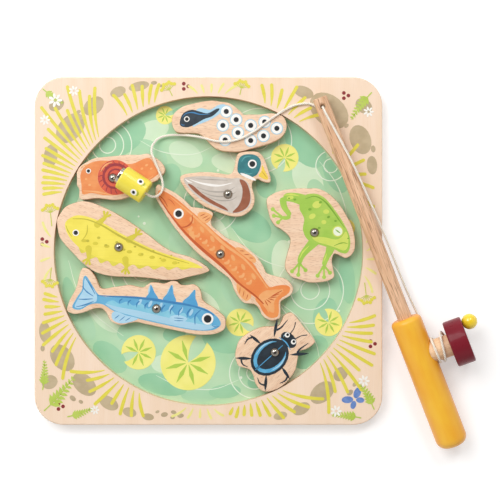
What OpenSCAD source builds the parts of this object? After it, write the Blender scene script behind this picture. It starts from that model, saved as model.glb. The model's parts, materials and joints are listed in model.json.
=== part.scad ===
// Magnetic fishing game: a square wooden pond board, eight plywood pond animals with steel studs,
// and a rod with a winding reel, a cord and a magnetic bait.
// Millimetres. The origin is the centre of the board's underside, +Z up, +Y to the board's far edge.

/* [Board] */
// Diameter of the round pond
pond_d = 267; // [200:1:320]
// Wood left between the pond and the board's edge, at its narrowest
rim_w = 16.5; // [12:0.5:40]
// Corner radius of the board in plan
board_r = 25; // [12:1:40]
// Thickness of the base sheet
base_t = 4; // [3:0.5:6]
// Thickness of the frame sheet, which has the pond cut through it
frame_t = 8; // [6:0.5:10]
// Rounding of the board's outer edges
edge_r = 1.2; // [0.5:0.1:2.5]

/* [Animals] */
// Thickness of the animals' plywood
piece_t = 9; // [6:0.5:14]
// Diameter of a stud's domed head
stud_d = 7.9; // [6:0.1:9]
// Height of a stud's domed head
stud_h = 2.6; // [1.5:0.1:3.4]
// Diameter of a stud's pin
pin_d = 2; // [1.4:0.1:3]
// Depth of a stud's pin in the wood
pin_l = 5; // [3:0.5:5.5]
// Thickness of one printed layer
ink_t = 0.08; // [0.05:0.01:0.2]

/* [Rod] */
// Length of the whole rod
rod_l = 320; // [260:1:400]
// Diameter of the dowel
dowel_d = 12.5; // [10:0.5:14]
// Depth of the dowel in the handle
socket_l = 24; // [15:1:26]
// Diameter of the handle
handle_d = 27; // [24:0.5:32]
// Length of the handle
handle_l = 118; // [112:1:160]
// Rounding of the handle's butt
butt_r = 8; // [4:0.5:10]
// Rounding of the handle's shoulder round the dowel
shoulder_r = 1.8; // [1:0.1:5.5]
// Diameter of the hole for the cord
cord_hole_d = 4.4; // [3.4:0.1:5]
// Distance of that hole from the rod's tip
cord_hole_in = 8.2; // [6:0.1:15]
// Depth of the countersink at both ends of that hole
cord_sink = 1.4; // [1:0.1:2.5]
// Turn of the rod away from the board's side
rod_turn = 21.3; // [15:0.1:30]

/* [Reel] */
// Wood left in the handle between the drum's seat and the dowel's socket
reel_wall = 1.2; // [1:0.1:20]
// Diameter of the drum
drum_d = 19; // [14:0.5:19]
// Gap between the handle and the disc, where the cord winds
drum_gap = 14.4; // [12:0.1:24]
// Depth of the drum's seat in the handle
seat_l = 4.5; // [3:0.5:6]
// Diameter of the disc
disc_d = 40; // [34:0.2:44]
// Thickness of the disc
disc_t = 16; // [10:0.5:20]
// Rounding of the disc's edges
disc_r = 1.6; // [0.5:0.1:3]
// Diameter of the ball knob
knob_d = 13.4; // [10:0.1:14]
// Distance of the knob from the reel's axis
knob_throw = 13.3; // [11:0.1:14]
// Wood turned off the ball, flat, where it faces the disc
knob_flat = 0.6; // [0.2:0.1:2]
// Gap between the knob and the disc
knob_gap = 0.1; // [0.1:0.1:4]
// Diameter of the knob's peg
peg_d = 5; // [3:0.5:6]
// Depth of the peg in the disc and in the knob
peg_in = 5; // [3:0.5:6]
// Diameter of the screw that the reel turns on
screw_d = 4; // [3:0.5:5]
// Depth of the screw in the handle, past the drum's seat
screw_in = 14; // [8:1:16]
// Diameter of the screw's head
head_d = 9; // [7.5:0.5:11]
// Height of the screw's head
head_h = 2.6; // [1.5:0.1:3.5]
// Depth of the head's top under the disc's face
head_in = 0.6; // [0.2:0.1:2]
// Running clearance on every side of the reel
spin_gap = 0.3; // [0.2:0.05:0.5]

/* [Bait] */
// Diameter of the bait
bait_d = 21; // [18:0.5:26]
// Length of the bait
bait_l = 25; // [20:0.5:35]
// Rounding of the bait's ends
bait_r = 1.3; // [0.5:0.1:2]
// Diameter of the magnet
magnet_d = 15; // [10:0.5:16]
// Length of the magnet outside the bait
magnet_out = 3; // [1:0.5:4]
// Depth of the magnet in the bait
magnet_in = 2; // [1:0.5:5]
// Rounding of the magnet's outer rim
magnet_r = 0.8; // [0.3:0.1:1.5]
// Diameter of the cord
cord_d = 2.2; // [1.6:0.1:2.6]

/* [Hidden] */

// Points on each stretch of a printed or sawn curve
curve_steps = 4;
// Printed layers under and on a piece
pond_layers = 4;
piece_layers = 4;
// One step of the grid that the pond's layout is drawn on, 267 steps across the pond
grid = pond_d / 267;
// What a resting piece keeps from its support
rest_gap = 0.05;
// What a turning piece keeps from the table
table_gap = 0.3;
// What a solid keeps from a cord that runs through it
cord_gap = 0.5;
// What the bait's magnet keeps from the stud beside it
pull_gap = 0.15;
// Rounding of an edge that is only broken
blunt_r = 0.2;
// Excess length of a cut beyond the faces that it goes through
over = 1;

board_w = pond_d + 2 * rim_w;
board_t = base_t + frame_t;
piece_z = base_t + pond_layers * ink_t;
piece_top = piece_z + piece_t;
stud_z = piece_top + piece_layers * ink_t;
dowel_l = rod_l - handle_l + socket_l;
handle_r = handle_d / 2;
// Distance of the reel's axis from the handle's butt
reel_at = handle_l - socket_l - reel_wall - spin_gap - drum_d / 2;
drum_z = handle_r - seat_l + spin_gap;
disc_z = handle_r + drum_gap;
head_z = disc_z + disc_t - head_in - head_h;
knob_z = disc_z + disc_t + knob_gap + knob_d / 2 - knob_flat;

// Each animal's place: its stud on the pond's grid and its turn in degrees
tadpole_at = [19.4, 105.6, 0];
duck_at = [16.8, 48.9, 0];
frog_at = [91.4, 15.9, 0];
beetle_at = [57.2, -87.3, 42];
pike_at = [10.3, -2.6, 136];
newt_at = [-77.2, 3.3, 160];
stickleback_at = [-44.8, -49.6, -12];
snail_at = [-82.3, 62.9, 0];

// Each animal's sawn outline on the grid, round its own stud
tadpole_outline = [[-51, 6], [-50, 1], [-47, -3], [-41, -4], [-33, -4], [-27, -5], [-22, -9],
    [-15, -16], [-9, -19], [-1, -20], [8, -20], [16, -18], [27, -15], [36, -12], [43, -8], [47, -3],
    [48, 3], [46, 9], [41, 12], [34, 13], [25, 12], [16, 12], [11, 12], [8, 15], [3, 19], [-2, 22],
    [-9, 23], [-16, 24], [-25, 23], [-34, 21], [-41, 19], [-47, 15], [-50, 11]];
duck_outline = [[-41, 15], [-38, 17], [-33, 18], [-24, 19], [-16, 19], [-7, 18], [0, 17], [4, 19],
    [6, 25], [7, 31], [9, 35], [13, 36.4], [19, 37], [25, 36.5], [29, 34], [32, 29], [34, 23], [36, 17],
    [37, 12], [35, 10], [30, 11], [26, 13], [23, 12], [21, 10], [21, 5], [22.5, 0], [23, -6], [21, -12],
    [17, -16], [11, -19], [3, -19], [-4, -17], [-12, -14], [-21, -10], [-29, -4], [-35, 2], [-39, 8],
    [-41, 12]];
frog_outline = [[-41, 29], [-38, 32], [-32, 35], [-24, 37], [-14, 38], [-5, 38], [2, 38], [8, 36],
    [14, 32], [20, 26], [25, 19], [29, 12], [32, 6], [34, -1], [35, -9], [34, -16], [31, -20],
    [27, -22], [24, -21], [20, -19], [17, -18.5], [15.5, -21], [15, -25], [16, -31], [17, -37],
    [15, -40], [10, -42], [3, -43], [-5, -43], [-11, -41], [-18, -39], [-22, -36], [-25, -31],
    [-25, -25], [-23, -17], [-21, -10], [-21, -5], [-24, -1], [-29, 3], [-34, 6], [-38, 12],
    [-40, 19], [-41, 24]];
beetle_outline = [[32, 17], [27, 18], [22, 16], [18, 15], [13, 18], [7, 23], [0, 26], [-9, 28],
    [-16, 28], [-22, 25], [-27, 21], [-30, 16], [-31, 12], [-28, 7], [-26, 3], [-27, -2], [-30, -8],
    [-31, -13], [-30, -18], [-26, -22], [-19, -25], [-11, -26], [-4, -25], [3, -23], [10, -18],
    [15, -14], [18, -14], [22, -16], [28, -17], [32, -16], [33, -11], [33, -2], [34, 7], [34, 14]];
pike_outline = [[80, -3], [80, -6], [77, -7], [71, -9], [64, -11], [56, -12], [50, -12], [46, -12],
    [42, -15], [36, -19], [31, -21], [28, -20], [26.5, -16], [22, -12.5], [14, -13], [5, -14],
    [-2, -17], [-8, -19], [-17, -20], [-26, -20], [-34, -18], [-40, -16], [-47, -19], [-54, -23],
    [-60, -24], [-66, -22], [-68, -17], [-67, -12], [-66, -7], [-68, -4], [-72, 0], [-75, 4],
    [-73, 9], [-69, 12], [-63, 13], [-57, 11], [-52, 10.5], [-48, 13], [-44, 16], [-37, 16], [-30, 14],
    [-24, 11], [-19, 10], [-10, 11], [1, 12], [12, 13], [24, 13], [37, 12], [50, 10], [63, 7],
    [73, 4], [78, 0]];
newt_outline = [[55, 3], [58, -4], [57, -11], [55, -17], [50, -22], [44, -26], [36, -28], [28, -28],
    [16, -27], [5, -25], [-8, -22], [-22, -18], [-34, -14], [-46, -12], [-59, -13], [-69, -12],
    [-77, -10], [-80, -8], [-79, -6], [-74, -2], [-66, 3], [-57, 9], [-47, 13], [-34, 16], [-23, 19],
    [-13, 22.5], [-3, 25.5], [7, 27], [15, 26.5], [26, 23], [34, 19], [44, 14], [51, 9]];
stickleback_outline = [[-70, 20], [-67, 21.5], [-62, 20], [-57, 15.5], [-54, 11], [-51, 7.5], [-47, 7.5],
    [-41, 10], [-34, 12.5], [-27, 15], [-20, 15], [-15, 15.5], [-12, 18.5], [-9, 21], [-4, 22],
    [2, 22.5], [7, 25.5], [12, 26.5], [16, 24.5], [21, 25], [27, 27], [32, 25], [35, 21], [37, 16],
    [42, 13], [48, 11], [54, 8], [59, 5], [61, 0], [61, -5], [57, -9], [51, -12], [43, -14],
    [34, -15], [24, -15], [12, -15], [2, -15], [-7, -15], [-14, -15], [-20, -17], [-26, -20],
    [-32, -20], [-37, -18], [-41, -13], [-45, -10], [-49, -10], [-54, -12], [-60, -16], [-67, -19],
    [-72, -19], [-75, -17], [-75, -11], [-74, -6], [-72, 0], [-71, 6], [-71, 13]];
snail_outline = [[-31, -2], [-31, 5], [-28, 10], [-22, 14], [-16, 17], [-8, 18], [2, 19], [13, 20],
    [23, 20], [30, 21], [34, 19], [39, 16], [43, 12], [45, 7], [43, 3], [38, -2], [34, -4],
    [29, -8], [23, -11], [16, -15], [9, -18], [1, -19], [-8, -18], [-15, -17.5], [-22, -18.5],
    [-27, -18.5], [-29, -16], [-29, -10], [-31, -6]];

// Point at share t of the curve from b to c, with a and d as the points on either side
function arc_point(a, b, c, d, t) =
    0.5 * (2 * b + (c - a) * t + (2 * a - 5 * b + 4 * c - d) * t * t + (3 * b - a - 3 * c + d) * t * t * t);

// Closed curve through the control points p
function smooth(p) = let (n = len(p)) [
    for (i = [0 : n - 1], k = [0 : curve_steps - 1])
        arc_point(p[(i + n - 1) % n], p[i], p[(i + 1) % n], p[(i + 2) % n], k / curve_steps)];

// Twice the signed area of the control points, positive where they run anticlockwise
function winding(p) = let (n = len(p), c = [for (i = [0 : n - 1]) cross(p[i], p[(i + 1) % n])])
    c * [for (i = c) 1];

// Control points moved inwards by d
function inset(p, d) = let (n = len(p), side = sign(winding(p))) [
    for (i = [0 : n - 1]) let (run = p[(i + 1) % n] - p[(i + n - 1) % n])
        p[i] + side * d * [-run.y, run.x] / norm(run)];

// A sawn or printed shape round control points on the grid
module blot(points) {
    polygon(smooth(grid * points));
}

// A round spot of radius r on the grid
module spot(at, r) {
    translate(grid * at) circle(r = grid * r, $fn = 40);
}

// An oval with half axes a and b, turned by angle
module oval(at, a, b, angle = 0) {
    polygon([for (k = [0 : 19]) let (t = 18 * k, c = a * cos(t), s = b * sin(t))
        grid * (at + [c * cos(angle) - s * sin(angle), c * sin(angle) + s * cos(angle)])]);
}

// A leaf or blade with pointed ends, l long and w wide, that starts at a point and runs along angle
module blade(at, l, w, angle) {
    n = 8;
    side = [for (k = [0 : n]) [l * k / n, w / 2 * sin(180 * k / n)]];
    back = [for (k = [1 : n - 1]) let (j = n - k) [l * j / n, -w / 2 * sin(180 * j / n)]];
    translate(grid * at) rotate(angle) polygon(grid * concat(side, back));
}

// A limb from a to b, with round ends of radius ra and rb
module limb(a, b, ra, rb) {
    lean = atan2(b.y - a.y, b.x - a.x);
    round_at = [for (k = [-4 : 4]) [cos(lean + 22.5 * k), sin(lean + 22.5 * k)]];
    polygon(grid * concat([for (side = round_at) a - ra * side], [for (side = round_at) b + rb * side]));
}

// Toes l long that fan out from a foot about a direction
module toes(foot, l, angle) {
    for (lean = [-34, 0, 34])
        limb(foot, foot + l * [cos(angle + lean), sin(angle + lean)], 0.6, 1);
}

// A ring of mean radius r and width w
module ring(at, r, w) {
    difference() {
        spot(at, r + w / 2);
        spot(at, r - w / 2);
    }
}

// Moves its children to an animal's place
module placed(place) {
    translate([grid * place.x, grid * place.y, 0]) rotate(place.z) children();
}

// The hole for a stud's pin, through the wood and the print over it
module pin_hole(place) {
    placed(place) translate([0, 0, piece_top - pin_l]) cylinder(d = pin_d, h = pin_l + over);
}

// An animal sawn from plywood, drilled for its stud
module animal(place, outline, tone, drilled = true) {
    color(tone) difference() {
        placed(place) translate([0, 0, piece_z]) linear_extrude(piece_t) blot(outline);
        if (drilled) pin_hole(place);
    }
}

// Print on an animal, in one of its layers
module piece_ink(place, tone, layer = 0) {
    color(tone) difference() {
        placed(place) translate([0, 0, piece_top + layer * ink_t]) linear_extrude(ink_t) children();
        pin_hole(place);
    }
}

// Print on the board at height z, in one of its layers
module board_ink(z, tone, layer = 0) {
    color(tone) translate([0, 0, z + layer * ink_t]) linear_extrude(ink_t) children();
}

// A domed steel stud, which is a cap of a sphere on a pin
module stud(place) {
    ball_r = (stud_d * stud_d / 4 + stud_h * stud_h) / (2 * stud_h);
    color("silver") placed(place) {
        translate([0, 0, stud_z]) intersection() {
            translate([0, 0, stud_h - ball_r]) sphere(r = ball_r, $fn = 48);
            cylinder(d = stud_d + over, h = stud_h + over, $fn = 48);
        }
        translate([0, 0, piece_top - pin_l]) cylinder(d = pin_d, h = pin_l + piece_layers * ink_t, $fn = 24);
    }
}

// Half of a sheet's section, rounded at its top outer corner
module sheet_section(half, t) {
    square([half - edge_r, t]);
    square([half, t - edge_r]);
    translate([half - edge_r, t - edge_r]) circle(r = edge_r, $fn = 32);
}

// A square sheet with round corners and a rounded upper edge
module rounded_sheet(t) {
    flat = board_w - 2 * board_r;
    for (turn = [0, 90])
        rotate(turn) rotate([90, 0, 90]) linear_extrude(flat, center = true) {
            sheet_section(board_w / 2, t);
            mirror([1, 0]) sheet_section(board_w / 2, t);
        }
    for (turn = [0 : 90 : 270])
        rotate(turn) translate([flat / 2, flat / 2, 0])
            rotate_extrude(angle = 90, $fn = 96) sheet_section(board_r, t);
}

module base_panel() {
    color("#F8E1C8") translate([0, 0, base_t]) mirror([0, 0, 1]) rounded_sheet(base_t);
}

module frame_panel() {
    color("#F8E1C8") difference() {
        translate([0, 0, base_t]) rounded_sheet(frame_t);
        translate([0, 0, base_t - over]) cylinder(d = pond_d, h = frame_t + 2 * over, $fn = 180);
    }
}

module tadpole() { animal(tadpole_at, tadpole_outline, "#EFC8A2", false); }
module duck() { animal(duck_at, duck_outline, "#EFC8A2"); }
module frog() { animal(frog_at, frog_outline, "#EFC8A2"); }
module beetle() { animal(beetle_at, beetle_outline, "#EFC8A2"); }
module pike() { animal(pike_at, pike_outline, "#EFC8A2"); }
module newt() { animal(newt_at, newt_outline, "#EFC8A2"); }
module stickleback() { animal(stickleback_at, stickleback_outline, "#EFC8A2"); }
module snail() { animal(snail_at, snail_outline, "#EFC8A2"); }

module duck_stud() { stud(duck_at); }
module frog_stud() { stud(frog_at); }
module beetle_stud() { stud(beetle_at); }
module pike_stud() { stud(pike_at); }
module newt_stud() { stud(newt_at); }
module stickleback_stud() { stud(stickleback_at); }
module snail_stud() { stud(snail_at); }

// The rod's own frame: X to the reel's side, Y from the butt to the tip, Z up. The butt rests on the
// table and the dowel on the board's edge, and the rod rolls until the disc is just off the table.
// The butt lies this far outside the board's near right corner.
butt_out = [61.5, 17.5];
butt_at = [board_w / 2 + butt_out.x, -board_w / 2 - butt_out.y];
// Height of the rod's axis over the butt, at slope a
function butt_z(a) = (handle_r - butt_r) * cos(a) + butt_r * (1 - sin(a));
// Slope at which the dowel rests on the rounded edge, found by repeated correction
function rest_slope(a, steps) = steps == 0 ? a : let (
    reach = dowel_d / 2 + edge_r + rest_gap,
    skew = sqrt(sin(a) * sin(a) + pow(sin(rod_turn) * cos(a), 2)),
    rise = butt_z(a) - board_t + edge_r,
    run = butt_at.x - board_w / 2 + edge_r)
    rest_slope(asin((reach * skew - sin(rod_turn) * cos(a) * rise) / run), steps - 1);
rod_slope = rest_slope(1, 8);
// Roll at which the disc's rounded inner edge is table_gap off the table
rim_arm = [disc_z + disc_r, disc_d / 2 - disc_r];
axle_z = butt_z(rod_slope) + reel_at * sin(rod_slope);
rod_roll = atan2(rim_arm.y, rim_arm.x) - asin((axle_z - disc_r - table_gap) / norm(rim_arm) / cos(rod_slope));

function roll(p, a) = [p.x * cos(a) - p.z * sin(a), p.y, p.x * sin(a) + p.z * cos(a)];
function tilt(p, a) = [p.x, p.y * cos(a) - p.z * sin(a), p.y * sin(a) + p.z * cos(a)];
function turn(p, a) = [p.x * cos(a) - p.y * sin(a), p.x * sin(a) + p.y * cos(a), p.z];
// A point in the rod's frame, as a point in the board's
function rod_point(p) = turn(tilt(roll(p, rod_roll), rod_slope), rod_turn)
    + [butt_at.x, butt_at.y, butt_z(rod_slope)];

module on_rod() {
    translate([butt_at.x, butt_at.y, butt_z(rod_slope)])
        rotate([0, 0, rod_turn]) rotate([rod_slope, 0, 0]) rotate([0, -rod_roll, 0]) children();
}

// Runs its children's Z along the rod
module along_rod() {
    on_rod() rotate([-90, 0, 0]) children();
}

// Runs its children's Z out along the reel's axis
module on_axle() {
    on_rod() translate([0, reel_at, 0]) rotate([0, 90, 0]) children();
}

// Half of a round bar's section, l long, with its lower and upper corners rounded by a and b
module bar_section(r, l, a, b) {
    intersection() {
        square([r, l]);
        union() {
            translate([0, a]) square([r, l - a - b]);
            square([r - a, l / 2]);
            translate([r - a, a]) circle(r = a, $fn = 64);
            translate([0, l / 2]) square([r - b, l / 2]);
            translate([r - b, l - b]) circle(r = b, $fn = 64);
        }
    }
}

module handle() {
    color("#F2B33C") difference() {
        along_rod() rotate_extrude($fn = 96) bar_section(handle_r, handle_l, butt_r, shoulder_r);
        along_rod() translate([0, 0, handle_l - socket_l])
            cylinder(d = dowel_d, h = socket_l + over, $fn = 64);
        on_axle() translate([0, 0, handle_r - seat_l])
            cylinder(d = drum_d + 2 * spin_gap, h = seat_l + over, $fn = 64);
        on_axle() translate([0, 0, handle_r - seat_l - screw_in])
            cylinder(d = screw_d, h = screw_in + over, $fn = 32);
    }
}

module rod_dowel() {
    color("#D9A67C") difference() {
        along_rod() translate([0, 0, handle_l - socket_l]) cylinder(d = dowel_d, h = dowel_l, $fn = 64);
        on_rod() translate([0, rod_l - cord_hole_in, 0]) {
            cylinder(d = cord_hole_d, h = dowel_d + over, center = true, $fn = 32);
            for (side = [0, 180])
                rotate([0, side, 0]) translate([0, 0, dowel_d / 2 - cord_sink])
                    cylinder(d1 = cord_hole_d, d2 = cord_hole_d + 4 * cord_sink, h = 2 * cord_sink, $fn = 32);
        }
    }
}

// The screw is fast in the handle, and the reel turns on it
module reel_screw() {
    shank_z = handle_r - seat_l - screw_in;
    slot_w = head_d / 7;
    color("silver") on_axle() {
        translate([0, 0, shank_z]) cylinder(d = screw_d, h = head_z - shank_z + head_h / 2, $fn = 32);
        translate([0, 0, head_z]) difference() {
            rotate_extrude($fn = 64) bar_section(head_d / 2, head_h, blunt_r, head_h / 2);
            for (side = [0, 90])
                rotate(side) translate([0, 0, head_h]) cube([head_d / 2, slot_w, head_h], center = true);
        }
    }
}

// The hole through the drum and the disc for the screw
module axle_bore() {
    translate([0, 0, drum_z - over]) cylinder(d = screw_d + 2 * spin_gap, h = disc_z + disc_t, $fn = 32);
}

module reel_drum() {
    color("#D9A67C") on_axle() difference() {
        translate([0, 0, drum_z]) cylinder(d = drum_d, h = disc_z - drum_z, $fn = 64);
        axle_bore();
    }
}

module reel_disc() {
    color("#7A2028") on_axle() difference() {
        translate([0, 0, disc_z]) rotate_extrude($fn = 96) bar_section(disc_d / 2, disc_t, disc_r, disc_r);
        axle_bore();
        translate([0, 0, head_z - spin_gap]) cylinder(d = head_d + 2 * spin_gap, h = disc_t, $fn = 64);
        translate([0, knob_throw, disc_z + disc_t - peg_in]) cylinder(d = peg_d, h = peg_in + over, $fn = 32);
    }
}

module reel_peg() {
    color("#D9A67C") on_axle() translate([0, knob_throw, disc_z + disc_t - peg_in])
        cylinder(d = peg_d, h = knob_gap + 2 * peg_in, $fn = 32);
}

module reel_knob() {
    color("#F8D93C") on_axle() translate([0, knob_throw, 0]) difference() {
        translate([0, 0, knob_z]) sphere(d = knob_d, $fn = 48);
        translate([0, 0, disc_z + disc_t]) cylinder(d = peg_d, h = knob_gap + peg_in, $fn = 32);
        translate([0, 0, disc_z + disc_t + knob_gap - knob_d]) cylinder(d = knob_d, h = knob_d, $fn = 32);
    }
}

// The bait lies on the snail with its magnet against the snail's stud
bait_turn = -33.3;
bait_aside = 5.1;
bait_z = stud_z + bait_d / 2;
bait_on = stud_d / 2 + pull_gap + magnet_out;
// The bait's two eyes: diameter, share of the bait's length and lean to each side
eye_d = 5.6;
eye_share = 0.67;
eye_lean = 31;

// Runs its children's X along the bait from its magnet's end, with the bait's axis at zero
module on_bait() {
    translate([grid * snail_at.x, grid * snail_at.y, bait_z]) rotate(bait_turn)
        translate([bait_on, bait_aside, 0]) children();
}

module bait_body() {
    color("#F5E55A") on_bait() rotate([0, 90, 0]) difference() {
        rotate_extrude($fn = 96) bar_section(bait_d / 2, bait_l, bait_r, bait_r);
        translate([0, 0, -over]) cylinder(d = magnet_d, h = magnet_in + over, $fn = 64);
        translate([0, 0, bait_l / 2]) cylinder(d = cord_d + 2 * cord_gap, h = bait_l / 2 + over, $fn = 32);
    }
}

module bait_magnet() {
    color("silver") on_bait() translate([-magnet_out, 0, 0]) rotate([0, 90, 0])
        rotate_extrude($fn = 64) bar_section(magnet_d / 2, magnet_out + magnet_in, magnet_r, blunt_r);
}

// The cord's windings: the angle round the reel's axis from the tip's side over the top, and the
// distance out along that axis. The end is knotted on near the disc.
wind_out = [[-70, 26.4], [0, 23.8], [180, 18.9], [360, 14.4], [450, 15], [540, 15], [630, 12.6]];
wind_r = [[-70, 11.2], [0, 13.2], [80, 11.4], [180, 10.9], [630, 10.9]];
windings = [for (a = [-70 : 30 : 620]) let (r = lookup(a, wind_r))
    rod_point([lookup(a, wind_out), reel_at + r * cos(a), r * sin(a)])];

// The cord from the reel along the rod and down through its hole: out to the reel's side, along the
// rod from the reel's axis, where the hole is at hole_on, and up
hole_on = 230.5;
rod_route = [for (p = [[12.3, 10, -11], [11.9, 20, -11.1], [11.2, 30, -10.4], [10.5, 40, -9.8],
    [9.6, 58, -8.4], [9.4, 76, -7.5], [9.4, 92, -6.6], [9.3, 106, -5.7], [8.7, 123, -3.5],
    [7.9, 141, -0.8], [7.2, 159, 2.1], [6.3, 174, 4.2], [5, 188, 5.7], [3.3, 202, 6.9], [0.9, 220, 7.6],
    [0.1, 227.5, 7.1], [0, 229.7, 5.2], [0, 230.5, 2.5], [0, 230.6, -1.5], [-0.2, 230.9, -4.6],
    [-1.2, 231.6, -7], [-3.2, 232.6, -8.3], [-5.9, 234, -8.5]])
    rod_point([p.x, reel_at + p.y * (rod_l - cord_hole_in - reel_at) / hole_on, p.z])];

// The cord's free stretch over the board, the animals and the pond to the bait
free_route = [[87, 126.8, 13.4], [80, 126.6, 13.4], [73, 124.9, 13.5], [66, 121.6, 14], [60, 117.7, 14.6],
    [54, 113.7, 14.9], [48, 109.2, 14.9], [42, 104.6, 14.9], [36, 100.8, 14.9], [30, 97.6, 14.9],
    [22, 94.9, 14.9], [13, 94, 14.9], [5, 94.8, 14.9], [-4, 97.2, 14.4], [-12, 98.9, 13], [-20, 100, 10.8],
    [-28, 100.4, 8.6], [-36, 100, 7.3], [-43, 97.6, 7.6], [-47.4, 93, 9.3], [-49, 88.4, 11.8],
    [-48.6, 83.6, 14.1], [-46.5, 78.4, 14.9], [-44, 72.4, 14.9], [-41.3, 66, 14.9], [-39.5, 59.5, 14.9],
    [-39.3, 53.5, 15.4], [-41.8, 48.6, 17.6], [-45.6, 46.4, 20.6], [-49.4, 46.9, 23],
    [-52.8, 49, 24], [-56, 51.1, 24.1], [-58.6, 52.8, 24.1]];

route = concat(windings, rod_route, free_route);

// Direction of the route at point i
function heading(i) = let (d = route[min(i + 1, len(route) - 1)] - route[max(i - 1, 0)]) d / norm(d);
// A side direction at point i that carries on from the last one
function side_on(last, i) = let (h = heading(i), s = last - (last * h) * h) s / norm(s);
sides = [for (i = 0, s = side_on([1, 0, 0], 0); i < len(route); i = i + 1,
    s = i < len(route) ? side_on(s, i) : s) s];

module cord() {
    n = 8;
    rings = [for (i = [0 : len(route) - 1], k = [0 : n - 1]) let (a = 360 * k / n)
        route[i] + cord_d / 2 * (cos(a) * sides[i] + sin(a) * cross(heading(i), sides[i]))];
    skin = [for (i = [0 : len(route) - 2], k = [0 : n - 1]) let (j = i * n, m = (k + 1) % n)
        [j + k, j + n + k, j + n + m, j + m]];
    last = len(rings) - n;
    ends = [[for (k = [0 : n - 1]) k], [for (k = [0 : n - 1]) last + n - 1 - k]];
    color("#F5EFE0") polyhedron(rings, concat(skin, ends), convexity = 10);
}

module pond_water() {
    color("#C6E2BC") translate([0, 0, base_t]) cylinder(d = pond_d - 2 * rest_gap, h = ink_t, $fn = 180);
}

// What the pond's upper layers of print keep from the frame
print_in = 0.7;
// Darker shapes where the water is deep: middle, half axes and turn
depths = [[-74, 98, 22, 13, 35], [-96, 79, 9, 12, -20], [-12, 122, 20, 6, 5], [84, 92, 14, 23, 40],
    [110, 66, 9, 17, 28], [36, 22, 13, 20, 60], [50, 58, 9, 12, 0], [-14, 32, 12, 17, 20],
    [-36, 62, 11, 15, -30], [120, -24, 7, 22, 6], [101, -55, 10, 15, -20], [88, -88, 12, 18, -50],
    [52, -47, 11, 8, 20], [14, -76, 13, 20, 80], [-40, -116, 22, 9, -12], [-86, -92, 18, 10, -42],
    [-120, -42, 6, 20, 12], [14, -122, 14, 6, 4], [44, -112, 11, 7, 24], [-119, 48, 6, 15, -20],
    [68, 117, 9, 6, -28], [-30, -72, 10, 7, 10]];

module pond_depths() {
    board_ink(base_t, "#9ACFA8", 1) intersection() {
        circle(d = pond_d - 2 * print_in, $fn = 180);
        union() for (d = depths) oval([d[0], d[1]], d[2], d[3], d[4]);
    }
}

// Floating leaves: middle, radius and direction of the notch
leaves = [[-18, -97, 24, 60], [-61, -88, 15, 200], [27, -62, 12, 330], [104, -62, 12, 120],
    [66, 81, 12, 250], [-38, 118, 8, 20], [119, 20, 8, 90]];

module leaf_shapes() {
    for (leaf = leaves)
        difference() {
            spot([leaf[0], leaf[1]], leaf[2]);
            blade([leaf[0], leaf[1]], 1.5 * leaf[2], 0.5 * leaf[2], leaf[3]);
        }
}

module lily_pads() {
    board_ink(base_t, "#F5F08C", 2) leaf_shapes();
}

// Veins that fan out from each leaf's middle
module lily_veins() {
    board_ink(base_t, "#A8CF45", 3) for (leaf = leaves)
        for (k = [1 : 7])
            blade([leaf[0], leaf[1]], 0.86 * leaf[2], 0.08 * leaf[2], leaf[3] + 45 * k);
}

// Rings on the water: middle and the radii of the rings
ripples = [[44, 96, [8, 17, 28]], [-58, -18, [8, 17, 27]], [88, -34, [8, 17, 29]], [-88, 92, [7, 14, 21]],
    [40, -106, [7, 14, 22]], [106, 74, [6, 13]], [2, 40, [7, 15, 24]]];

module pond_ripples() {
    board_ink(base_t, "#E4F3DC", 2) intersection() {
        circle(d = pond_d - 2 * print_in, $fn = 180);
        difference() {
            for (r = ripples, size = r[2]) ring([r[0], r[1]], size, 0.9);
            leaf_shapes();
        }
    }
}

// The flat of the frame that can be printed on
module frame_flat() {
    flat = board_w - 2 * board_r;
    difference() {
        union() {
            for (turn = [0, 90]) rotate(turn) square([board_w - 2 * edge_r, flat], center = true);
            for (x = [-1, 1], y = [-1, 1])
                translate([x, y] * flat / 2) circle(r = board_r - edge_r, $fn = 96);
        }
        circle(d = pond_d + 2 * cord_gap, $fn = 180);
    }
}

// Print on the frame, in one of its layers
module shore_ink(tone, layer = 0) {
    board_ink(board_t, tone, layer) intersection() {
        frame_flat();
        union() children();
    }
}

// Stones round the pond: middle, half axes and turn
stones = [[-119, 106, 15, 10, 48], [-99, 125, 10, 7, 40], [-136, 82, 6, 10, -8], [-131, 126, 7, 5, 30],
    [-126, -92, 13, 9, -52], [-107, -115, 12, 8, -42], [-141, -70, 5, 9, 6], [-137, -113, 7, 6, 20],
    [-86, -131, 9, 5.5, -30], [-68, -139, 6, 4, -18], [-52, -143, 5, 3, -8], [98, -122, 12, 8, 40],
    [114, -106, 7, 5.5, 46], [80, -136, 8, 5, 26], [62, -142, 6, 3.4, 14], [104, 121, 19, 13, -40],
    [131, 96, 9, 13, 20], [82, 137, 9, 5, -20], [134, 125, 8, 6, -40], [141, 74, 4.5, 8, 4],
    [-60, 142, 9, 4, 14], [-78, 137, 7, 4.5, 24]];

module shore_stones() {
    shore_ink("#C8B492") for (s = stones) oval([s[0], s[1]], s[2], s[3], s[4]);
}

// Grass tufts: foot, number of blades, length, first and last direction
tufts = [[-145, 22, 10, 58, 66, 96], [-92, 146, 10, 52, 186, 224], [146, -34, 9, 50, 242, 270],
    [40, -146, 9, 46, 6, 32], [-146, -12, 8, 48, 262, 284], [48, 146, 8, 42, 180, 194],
    [146, 36, 8, 46, 84, 106], [-16, -146, 8, 42, 166, 180], [92, 147, 6, 30, 330, 356],
    [-147, -104, 6, 30, 282, 316]];

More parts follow.
